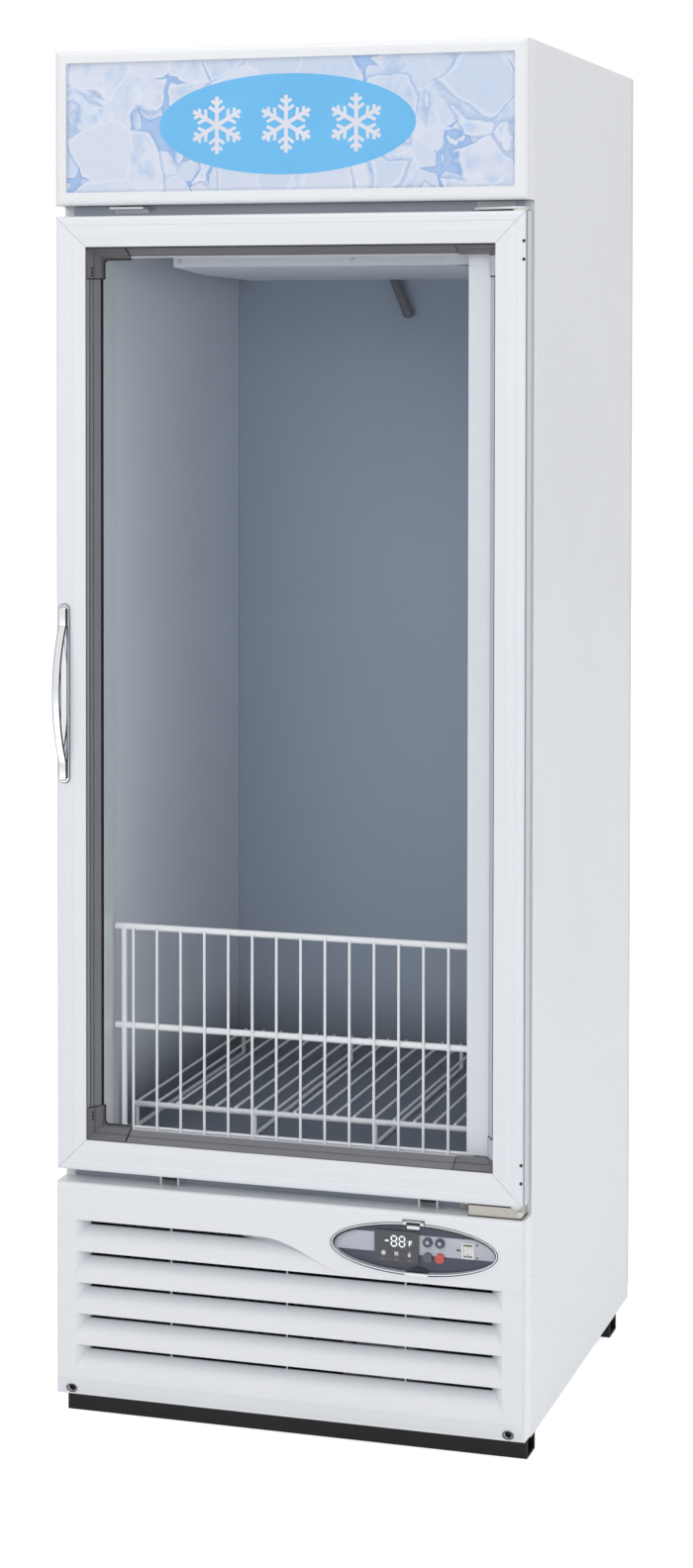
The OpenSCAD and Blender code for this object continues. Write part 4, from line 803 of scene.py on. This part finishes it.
bm = bmesh.new()
lip = {"inset": 0.0045, "width": 0.002, "from": 37.9, "to": 43.2}
addDoorRing(bm, lip["inset"], lip["width"], depth(lip["from"]), (lip["to"] - lip["from"]) * mm)
addPiece("gasket_lip", bm, moulding, "door", smooth=False)

dots = {"radius": 0.0017, "pitch": 0.0049, "edge": 0.0492, "depth": 15.8, "first": (0.0810, 0.0837)}
bm = bmesh.new()
for (_, sideZ, cornerZ), first in zip(doorCorners((-1,)), dots["first"]):
    for dot in range(3):
        centre = Vector((doorLow.x + dots["edge"], depth(dots["depth"]),
                         cornerZ + sideZ * (first - dot * dots["pitch"])))
        bmesh.ops.create_icosphere(bm, subdivisions=2, radius=dots["radius"],
                                   matrix=Matrix.Translation(centre))
addPiece("key_dots", bm, sealBlack, "door")

# handle: a rounded bow on a bevelled plate

print("handle: plate and bow")
handle = {"plate": (0.015, 0.255, 0.002), "plateBevel": 0.0007, "grip": (0.012, 0.006), "chord": 0.219,
          "out": 0.036, "foot": 0.026, "footDepth": 0.007, "footBevel": 0.0024, "steps": 40,
          "pad": (-0.0009, 0.0007), "line": (0.0024, 0.00205), "centre": (0.0033, 0.0021)}
plateLow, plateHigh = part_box("handle_base")
handleMid = (plateLow + plateHigh) / 2
plateMid = Vector((handleMid.x, plateHigh.y, handleMid.z))


def addCapsule(bm, centre, width, length, thickness, bevel=0.0):
    # an upright plate with round ends that faces the front; centre is on its back face
    half = Vector((width / 2, 0, length / 2))
    low, high = centre - half, centre + half
    face = addQuad(bm, (low.x, low.z), (high.x, high.z), centre.y)
    bmesh.ops.bevel(bm, geom=list(face.verts), offset=width * 0.499, segments=12, affect="VERTICES",
                    profile=0.5, material=-1)
    pushFaces(bm, list(bm.faces), -thickness)
    if bevel:
        front = [e for e in bm.edges if all(abs(v.co.y - centre.y + thickness) < 1e-6 for v in e.verts)]
        bmesh.ops.bevel(bm, geom=front, offset=bevel, segments=3, affect="EDGES", profile=0.5, material=-1)


bm = bmesh.new()
width, length, thickness = handle["plate"]
addCapsule(bm, plateMid, width, length, thickness, handle["plateBevel"])
plate = addPiece("handle_plate", bm, chrome, "door")
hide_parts("handle_base")
# a dark pad round the plate, partly a gasket and partly painted shadow, and on it a dark line of painted
# reflection and a raised middle
for name, (inset, thick), look in (("handle_plate_gasket_shadow", handle["pad"], sealBlack),
                                   ("handle_plate_reflection_line", handle["line"], sealBlack),
                                   ("handle_plate_centre", handle["centre"], chrome)):
    bm = bmesh.new()
    addCapsule(bm, plateMid, width - 2 * inset, length - 2 * inset, thick)
    addPiece(name, bm, look, "door")

rise = handle["out"] - thickness
arcR = (handle["chord"] ** 2 / 4 + rise ** 2) / (2 * rise)
arcHalf = math.asin(handle["chord"] / 2 / arcR)
arcMid = Vector((handleMid.x, plateHigh.y - handle["out"] + arcR, handleMid.z))
gripWidth, gripDepth = handle["grip"]
bm = bmesh.new()
section = (Matrix.Translation(arcMid) @ Matrix.Rotation(-arcHalf, 4, "X")
           @ Matrix.Translation((0, -arcR + gripDepth / 2, 0))
           @ Matrix.Diagonal((gripWidth, gripDepth, 1, 1)))
bmesh.ops.create_circle(bm, cap_ends=True, segments=24, radius=0.5, matrix=section)
bmesh.ops.spin(bm, geom=list(bm.faces), cent=arcMid, axis=(1, 0, 0), angle=2 * arcHalf, steps=handle["steps"],
               use_merge=False)
half = Vector((gripWidth / 2, handle["footDepth"] / 2, handle["foot"] / 2))
for end in (-1, 1):
    centre = Vector((handleMid.x, plateLow.y - handle["footDepth"] / 2,
                     handleMid.z + end * handle["chord"] / 2))
    addBox(bm, centre - half, centre + half, handle["footBevel"])
bow = addPiece("handle_bow", bm, makeBowChrome(), "door")
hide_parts("handle_grip")

# control window: printed marks, button faces, hinge clip, thumb lip

print("control: digits, icons, button faces")
displayLow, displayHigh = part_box("display_module")
displayMid = (displayLow + displayHigh) / 2
digit = {"height": 0.0142, "width": 0.0074, "bar": 0.0018, "print": 0.0002, "row": 0.0075, "minus": 0.0055,
         "minusX": -0.0165, "digitX": (-0.0035, 0.0080), "border": 0.0015}
unit = {"place": (0.0200, -0.0022), "bar": 0.0014, "left": -0.0016, "half": 0.0034, "right": 0.0024,
        "middle": (0.0018, 0.0002), "ringLow": (-0.0052, 0.0016), "ringHigh": (-0.0030, 0.0038),
        "ringLine": 0.0005}
icon = {"radius": 0.0036, "row": -0.0098, "pitch": 0.0185, "half": 0.0060, "line": 0.0008,
        "crystalBar": 0.0008, "bar": 0.0016, "bulb": 0.0024, "bulbDrop": 0.0008, "stem": 0.0034,
        "dotRow": -0.0082, "dotPitch": 0.0016, "dotRadius": 0.0005}
printed = {"grainScale": 900, "gloss": (0.2, 0.3), "bump": 0.05}
litWhite = makeLampOpal("litWhite", 0.6)
printGrey = addSurface("printGrey", makeLook(186, 188, 192, 6, **{**printed, "gloss": (0.3, 0.4)}))
printY, printFront = displayLow.y - digit["print"] / 2, displayLow.y - digit["print"]


def addSegments(bm, x, z, segments):
    w, h = digit["width"] / 2, digit["height"] / 2
    gap = digit["bar"] * 0.6
    spans = {"top": ((-w, h), (w, h)), "middle": ((-w, 0), (w, 0)), "bottom": ((-w, -h), (w, -h)),
             "leftUp": ((-w, 0), (-w, h)), "leftDown": ((-w, -h), (-w, 0)),
             "rightUp": ((w, 0), (w, h)), "rightDown": ((w, -h), (w, 0))}
    for name in segments:
        start, end = (Vector(p) for p in spans[name])
        step = (end - start).normalized() * gap
        start, end = start + step, end - step
        addBar(bm, (x + start.x, z + start.y), (x + end.x, z + end.y), digit["bar"], printY, digit["print"])


allSegments = ("top", "middle", "bottom", "leftUp", "leftDown", "rightUp", "rightDown")
bm = bmesh.new()
rowZ = displayMid.z + digit["row"]
minusX = displayMid.x + digit["minusX"]
addBar(bm, (minusX, rowZ), (minusX + digit["minus"], rowZ), digit["bar"], printY, digit["print"])
for x in digit["digitX"]:
    addSegments(bm, displayMid.x + x, rowZ, allSegments)
# the unit's letter, an upright with two arms, and its small square ring
unitMid = Vector((displayMid.x + unit["place"][0], rowZ + unit["place"][1]))
left, half, (armX, armZ) = unit["left"], unit["half"], unit["middle"]
for start, end in (((left, -half), (left, half)), ((left, half), (unit["right"], half)),
                   ((left, armZ), (armX, armZ))):
    addBar(bm, unitMid + Vector(start), unitMid + Vector(end), unit["bar"], printY, digit["print"])
addRing(bm, unitMid + Vector(unit["ringLow"]), unitMid + Vector(unit["ringHigh"]), unit["ringLine"],
        printFront, digit["print"])
addPiece("display_digits", bm, litWhite, "cabinet", smooth=False)

# a crystal, four fan blades and a bulb on a stem, each with a frame round it and three dots below
iconZ = displayMid.z + icon["row"]
iconX = [displayMid.x + (i - 1) * icon["pitch"] for i in range(3)]
bm = bmesh.new()
addCrystal(bm, iconX[0], iconZ, icon["radius"], icon["crystalBar"], printY, digit["print"])
for blade in range(4):
    turn = math.radians(45 + 90 * blade)
    tip = (iconX[1] + math.cos(turn) * icon["radius"], iconZ + math.sin(turn) * icon["radius"])
    addBar(bm, (iconX[1], iconZ), tip, icon["bar"], printY, digit["print"])
bulbZ = iconZ - icon["bulbDrop"]
addDisc(bm, (iconX[2], printY, bulbZ), icon["bulb"], digit["print"], 24)
addBar(bm, (iconX[2], bulbZ), (iconX[2], iconZ + icon["stem"]), icon["bar"], printY, digit["print"])
addPiece("display_icons", bm, rockerWhite, "cabinet", smooth=False)
bm = bmesh.new()
half = icon["half"]
for x in iconX:
    addRing(bm, (x - half, iconZ - half), (x + half, iconZ + half), icon["line"], printFront, digit["print"])
    for dot in (-1, 0, 1):
        addDisc(bm, (x + dot * icon["dotPitch"], printY, iconZ + icon["dotRow"]), icon["dotRadius"],
                digit["print"], 10)
addPiece("display_marks", bm, printGrey, "cabinet", smooth=False)

displayWhite = addSurface("displayBorder", makeLook(226, 227, 230, 6, **{**printed, "grainScale": 700}))
bm = bmesh.new()
addRing(bm, (displayLow.x, displayLow.z), (displayHigh.x, displayHigh.z), digit["border"], printFront,
        digit["print"])
addPiece("display_border", bm, displayWhite, "cabinet", smooth=False)

buttonPale = addSurface("buttonPale", makeLook(196, 198, 214, 8, **printed))
buttonFace = {"radius": 0.0026, "frontShare": 0.8, "proud": 0.0003}
for nodeName, body, cap in (("button_up", "up_button", buttonPale),
                            ("button_down", "down_button", buttonPale),
                            ("button_set", "set_button", buttonGrey)):
    low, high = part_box(nodeName)
    centre = (low + high) / 2
    bm = bmesh.new()
    addDisc(bm, (centre.x, low.y - buttonFace["proud"] / 2, centre.z), buttonFace["radius"],
            buttonFace["proud"], 32, buttonFace["radius"] * buttonFace["frontShare"])
    addPiece(nodeName + "_centre", bm, cap, body)

rockerLow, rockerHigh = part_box("rocker_frame")
rockerMid = (rockerLow + rockerHigh) / 2
fasciaLow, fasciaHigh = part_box("control_fascia")
dotLook = {"beside": 0.0128, "rise": 0.009, "radius": 0.0014, "dashX": -0.0165, "dashLength": 0.006,
           "dashWidth": 0.0022, "thick": 0.0008}
bm = bmesh.new()
for rise in (-1, 1):
    addDisc(bm, (rockerMid.x + dotLook["beside"], fasciaLow.y, rockerMid.z + rise * dotLook["rise"]),
            dotLook["radius"], dotLook["thick"], 20)
dashX = rockerMid.x + dotLook["dashX"]
addBar(bm, (dashX, rockerMid.z), (dashX + dotLook["dashLength"], rockerMid.z), dotLook["dashWidth"],
       fasciaLow.y, dotLook["thick"])
addPiece("fascia_dots", bm, sealBlack, "cabinet")

marks = {"bar": (0.0035, 0.0070), "ringDrop": 0.0052, "ringSize": 0.0042, "line": 0.0008, "thick": 0.0003}
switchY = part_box("rocker_switch")[0].y
bm = bmesh.new()
addBar(bm, *((rockerMid.x, rockerMid.z + rise) for rise in marks["bar"]), marks["line"], switchY - 0.00005,
       marks["thick"])
addOvalRing(bm, (rockerMid.x, switchY - 0.0002, rockerMid.z - marks["ringDrop"]),
            (marks["ringSize"], marks["ringSize"]), marks["line"], marks["thick"])
addPiece("rocker_marks", bm, printGrey, "rocker", smooth=False)

print("control: rim lines, clip, thumb recess")
rim = {"outline": 0.0013, "outlineInset": 0.0021, "outlineDepth": -1.4, "outlineThick": 0.0004,
       "flange": 0.0023, "flangeDepth": -1.5, "flangeGrow": 0.0006, "flangeThick": 0.0016,
       "crescent": 0.0022, "crescentInset": 0.010, "crescentDepth": 2.7, "crescentThick": 0.0006}
clip = {"half": 0.009, "tab": ((-3.1, -0.9), (318.2, 322.9)), "cap": ((-3.7, -3.25), (324.5, 329.4)),
        "capBar": 327.9, "leafHalf": 0.0109, "capHalf": 0.0148, "gapLine": 0.0011, "gapDepth": (-1.7, -1.45)}
thumb = {"x": 0.004, "radius": 0.027, "top": 262.4, "floor": 256.6, "depth": 3.0, "thick": 0.0004,
         "lipHalf": 0.017, "lip": ((-2.4, -1.5), (252.9, 256.9))}
bezelLow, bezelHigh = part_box("control_bezel")
oval = Vector(((bezelLow.x + bezelHigh.x) / 2, 0, (fasciaLow.z + fasciaHigh.z) / 2))
ovalSize = Vector((bezelHigh.x - bezelLow.x, 2 * (oval.z - bezelLow.z)))
shadeNavy = addSurface("shadeNavy", makeLook(18, 19, 30, 4, grainScale=900, gloss=(0.3, 0.4), bump=0.05))


def at(x, d, z):
    # a place by the oval: metres from its middle, and depth and height in millimetres
    return Vector((oval.x + x, depth(d), z * mm))


# a dark line of painted shadow just outside the silver ring
bm = bmesh.new()
addOvalRing(bm, (oval.x, depth(rim["outlineDepth"]), oval.z),
            ovalSize - 2 * Vector((rim["outlineInset"], rim["outlineInset"])), rim["outline"],
            rim["outlineThick"])
addPiece("oval_shadow_line", bm, sealBlack, "cabinet", smooth=False)
bm = bmesh.new()
addOvalRing(bm, (oval.x, depth(rim["flangeDepth"]), oval.z),
            ovalSize + Vector((rim["flangeGrow"], rim["flangeGrow"])), rim["flange"], rim["flangeThick"])
addPiece("oval_flange", bm, moulding, "cabinet")
bm = bmesh.new()
addOvalRing(bm, (oval.x, depth(rim["crescentDepth"]), oval.z),
            ovalSize - Vector((rim["crescentInset"], rim["crescentInset"])), rim["crescent"],
            rim["crescentThick"], fall=rim["crescent"])
addPiece("oval_upper_shade", bm, shadeNavy, "cabinet", smooth=False)

bm = bmesh.new()
(d0, d1), (z0, z1) = clip["tab"]
addBox(bm, at(-clip["half"], d0, z0), at(clip["half"], d1, z1), 0.0006)
addPiece("cover_clip", bm, moulding, "control_window")
bm = bmesh.new()
(d0, d1), (z0, z1) = clip["cap"]
# the cover's leaf swings up between the ears, to just under the bar
addBox(bm, at(-clip["capHalf"], d0, clip["capBar"]), at(clip["capHalf"], d1, z1), 0.0002)
for side in (-1, 1):
    edges = sorted((side * clip["leafHalf"], side * clip["capHalf"]))
    addBox(bm, at(edges[0], d0, z0), at(edges[1], d1, z1), 0.0002)
addPiece("clip_cap", bm, moulding, "cabinet")
# a black plate behind the clip's cap, painted shadow round it
bm = bmesh.new()
grow, (gap0, gap1) = clip["gapLine"], clip["gapDepth"]
addBox(bm, at(-clip["capHalf"] - grow, gap0, z0 - grow / mm),
       at(clip["capHalf"] + grow, gap1, z1 + grow / mm))
addPiece("clip_shadow_outline", bm, sealBlack, "cabinet", smooth=False)

# a dark disc of painted shade in the round recess, cut off level at its floor
bm = bmesh.new()
addDisc(bm, at(thumb["x"], thumb["depth"], thumb["top"] - thumb["radius"] / mm), thumb["radius"],
        thumb["thick"], 96)
bmesh.ops.bisect_plane(bm, geom=list(bm.verts) + list(bm.edges) + list(bm.faces), dist=1e-6,
                       plane_co=(0, 0, thumb["floor"] * mm), plane_no=(0, 0, -1), clear_outer=True)
bmesh.ops.holes_fill(bm, edges=[e for e in bm.edges if e.is_boundary], sides=0)
addPiece("thumb_recess_shade", bm, shadeNavy, "cabinet", smooth=False)
bm = bmesh.new()
(d0, d1), (z0, z1) = thumb["lip"]
addBox(bm, at(thumb["x"] - thumb["lipHalf"], d0, z0), at(thumb["x"] + thumb["lipHalf"], d1, z1), 0.0004)
addPiece("thumb_lip", bm, silver, "control_window")

# cabinet: screws inside, hinge and clip strips of painted shade, gap clips, cover end, rear edges and recess
# rims of painted shade, screws on the back

print("cabinet: screws inside, hinge pads, gap clips, cover end")
coverLow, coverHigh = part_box("evaporator_cover")
inside = {"screws": (-0.196, 0.063), "screwZ": 1.660, "radius": 0.0038, "front": 0.003, "thick": 0.0018,
          "flange": ((0.198, 0.2465), (-0.0004, 0.0012)), "flangeLow": 1.6522}
bm = bmesh.new()
for x in inside["screws"]:
    addDisc(bm, (x, coverLow.y - 0.0008, inside["screwZ"]), inside["radius"], inside["thick"], 24,
            inside["front"])
addPiece("cover_screws", bm, screwMetal, "cabinet")

hinge = {"width": 74.0, "front": 8.0, "back": 43.5, "top": (356.6, 358.6), "foot": (341.1, 342.6),
         "proud": 0.7, "over": (1.0, 0.8), "knuckleR": 0.0046, "knuckleX": 1.5, "knuckleThick": 0.0030,
         "knuckleProud": 1.2, "clips": (-180.0, 200.0), "clipHalf": 13.0,
         "clip": ((29.2, 43.0), (348.5, 351.5)), "pinHalf": 1.3, "pin": ((28.2, 30.2), (341.5, 353.0))}
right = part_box("hinge_bottom")[1].x / mm


def addPad(bm, x, y, z, bevel=0.0):
    # a box from its spans in millimetres, with y as depth
    addBox(bm, (x[0] * mm, depth(y[0]), z[0] * mm), (x[1] * mm, depth(y[1]), z[1] * mm), bevel)


# black strips of painted shade above and below the lower hinge block, and over the panel clips
bm = bmesh.new()
for span in (hinge["top"], hinge["foot"]):
    addPad(bm, (right - hinge["width"] - hinge["over"][0], right + hinge["over"][1]),
           (hinge["front"] - hinge["proud"], hinge["back"]), span)
for x in hinge["clips"]:
    addPad(bm, (x - hinge["clipHalf"], x + hinge["clipHalf"]), *hinge["clip"])
addPiece("hinge_and_clip_shade_strips", bm, sealBlack, "cabinet", smooth=False)
bm = bmesh.new()
for x in hinge["clips"]:
    for middle in (x - hinge["clipHalf"], x + hinge["clipHalf"]):
        addPad(bm, (middle - hinge["pinHalf"], middle + hinge["pinHalf"]), *hinge["pin"], 0.0004)
addPiece("panel_clip_prongs", bm, moulding, "cabinet")
bm = bmesh.new()
middle = (hinge["top"][0] + hinge["foot"][1]) / 2 * mm
addDisc(bm, ((right - hinge["knuckleX"]) * mm, depth(hinge["front"] - hinge["knuckleProud"]), middle),
        hinge["knuckleR"], hinge["knuckleThick"], 32, hinge["knuckleR"] * 0.8)
addPiece("hinge_knuckle", bm, steel, "cabinet")

bm = bmesh.new()
(x0, x1), (y0, y1) = inside["flange"]
addBox(bm, (x0, coverLow.y + y0, inside["flangeLow"]), (x1, coverLow.y + y1, coverHigh.z), 0.0004)
addPiece("cover_end_flange", bm, coverEnamel, "cabinet")

print("cabinet: rear edges, recess rims, screws on the back")
# grey strips of painted shade along the side panels' folded rear edges
rearEdgeShade = makeLook(158, 160, 165, 4, grainScale=900, gloss=(0.4, 0.5), bump=0.05, width=0.0035, proud=0.0002,
                low=0.050, short=0.0005)
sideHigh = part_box("side_panel_right")[1]
bm = bmesh.new()
for side in (-1, 1):
    edges = sorted((side * (sideHigh.x - rearEdgeShade["proud"]), side * (sideHigh.x + rearEdgeShade["proud"])))
    addBox(bm, (edges[0], sideHigh.y - rearEdgeShade["width"], rearEdgeShade["low"]),
           (edges[1], sideHigh.y, sideHigh.z - rearEdgeShade["short"]))
addPiece("side_rear_edge_shade", bm, addSurface("edgeShadeGrey", rearEdgeShade), "cabinet", smooth=False)

# black oval rims of painted shade round the screw recesses low on the grille panel
recess = {"x": 0.320, "z": 0.0430, "inner": 0.0050, "outer": 0.0064, "stretch": 1.25, "tilt": 12.4,
          "depth": 3.9, "thick": 0.0006}
bm = bmesh.new()
for side in (-1, 1):
    turn = (Matrix.Translation((side * recess["x"], depth(recess["depth"]), recess["z"]))
            @ Matrix.Rotation(math.radians(90 + recess["tilt"]), 4, "X")
            @ Matrix.Diagonal((recess["stretch"], 1, 1, 1)))
    addCircleBand(bm, 40, [(recess["inner"], turn), (recess["outer"], turn)])
bmesh.ops.solidify(bm, geom=list(bm.faces), thickness=recess["thick"])
addPiece("screw_recess_shade_rims", bm, sealBlack, "cabinet", smooth=False)

bm = bmesh.new()
backLow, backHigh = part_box("back_panel")
rear = {"inset": 0.009, "ends": 0.03, "rows": 7, "radius": 0.0042, "thick": 0.0016, "proud": 0.0005}
pitch = (backHigh.z - backLow.z - 2 * rear["ends"]) / (rear["rows"] - 1)
for side in (-1, 1):
    for row in range(rear["rows"]):
        addDisc(bm, (side * (backHigh.x - rear["inset"]), backHigh.y + rear["proud"],
                     backLow.z + rear["ends"] + row * pitch), rear["radius"], rear["thick"], 24)
addPiece("back_screws", bm, screwMetal, "cabinet")

# studio

print("studio: floor, world, lamps, camera")


def addFloor():
    # pale, and plain white to the camera, mirrors and panes
    look = {"size": 14.0, "tone": rgb(238, 239, 241), "toneB": rgb(235, 236, 238), "lift": 0.68}
    bm = bmesh.new()
    bmesh.ops.create_grid(bm, x_segments=1, y_segments=1, size=look["size"])
    make = NodeMaker("paleFloor")
    tone = make.blend(make.noise(make.coords(), 2.0), look["tone"], look["toneB"])
    matte = make.add("BsdfDiffuse", Color=tone).outputs["BSDF"]
    strength = make.math("MULTIPLY", make.whereSeen(), look["lift"])
    glow = make.add("Emission", Color=(1, 1, 1, 1), Strength=strength).outputs["Emission"]
    floor = linkMesh("floor", bm, make.finish(make.mixShaders("AddShader", matte, glow)))


def addWorld():
    # a plain white background, and a dimmer, faintly blue light on the object
    look = {"fill": 0.50, "tone": (0.97, 0.985, 1.0, 1)}
    make = NodeMaker("studio", world=True)
    fill = make.add("Background", Color=look["tone"], Strength=look["fill"]).outputs[0]
    white = make.add("Background", Color=(1, 1, 1, 1), Strength=1.0).outputs[0]
    bpy.context.scene.world = make.finish(make.mixShaders("MixShader", make.whereSeen(), fill, white))


def addLamp(name, place, target, size, power, mirrored=True):
    data = bpy.data.lights.new(name, "AREA")
    data.shape = "RECTANGLE"
    data.size, data.size_y = size
    data.energy = power
    lamp = bpy.data.objects.new(name, data)
    lamp.location = place
    lamp.rotation_euler = (Vector(target) - Vector(place)).to_track_quat("-Z", "Y").to_euler()
    lamp.visible_glossy = mirrored
    bpy.context.scene.collection.objects.link(lamp)


def addBlackCard():
    # a black board to the left that only reflections see, so that chrome has its dark line
    card = {"place": (-1.9, 0.15, 1.05), "size": (1.1, 1.5), "faces": (1.5, -0.5, 0), "tone": rgb(14, 14, 16)}
    turn = Vector(card["faces"]).to_track_quat("Z", "Y").to_matrix().to_4x4()
    place = Matrix.Translation(card["place"]) @ turn @ Matrix.Diagonal((*card["size"], 1, 1))
    bm = bmesh.new()
    bmesh.ops.create_grid(bm, x_segments=1, y_segments=1, size=0.5, matrix=place)
    make = NodeMaker("cardBlack")
    matte = make.add("BsdfDiffuse", Color=card["tone"]).outputs["BSDF"]
    board = linkMesh("black_card", bm, make.finish(matte))
    board.visible_camera = False
    board.visible_diffuse = False
    board.visible_shadow = False
    board.visible_transmission = False


def addCamera():
    shot = {"place": (1.31535, -4.65363, 1.54032), "tilt": math.pi / 2 - 0.03118, "turn": 0.3237,
            "lens": 74.266, "shift": (0.0947, -0.2159)}
    data = bpy.data.cameras.new("camera")
    data.sensor_width = 36
    data.sensor_fit = "AUTO"
    data.lens = shot["lens"]
    data.shift_x, data.shift_y = shot["shift"]
    camera = bpy.data.objects.new("camera", data)
    camera.location = shot["place"]
    camera.rotation_euler = (shot["tilt"], 0, shot["turn"])
    bpy.context.scene.collection.objects.link(camera)
    bpy.context.scene.camera = camera


addFloor()
addWorld()
addBlackCard()
addLamp("frontKey", (-1.2, -4.4, 3.3), (0, 0, 0.9), (2.2, 2.2), 56, mirrored=False)
addLamp("insideFill", (1.5, -4.2, 1.9), (-0.25, 0, 1.1), (1.6, 1.6), 27, mirrored=False)
addLamp("sideFill", (4.0, -0.8, 3.0), (0, 0, 1.2), (2.4, 2.4), 25)
addLamp("topSoft", (0.0, -0.6, 4.4), (0, 0, 0), (2.4, 2.4), 24)
addCamera()
bpy.context.scene.view_settings.view_transform = "Standard"
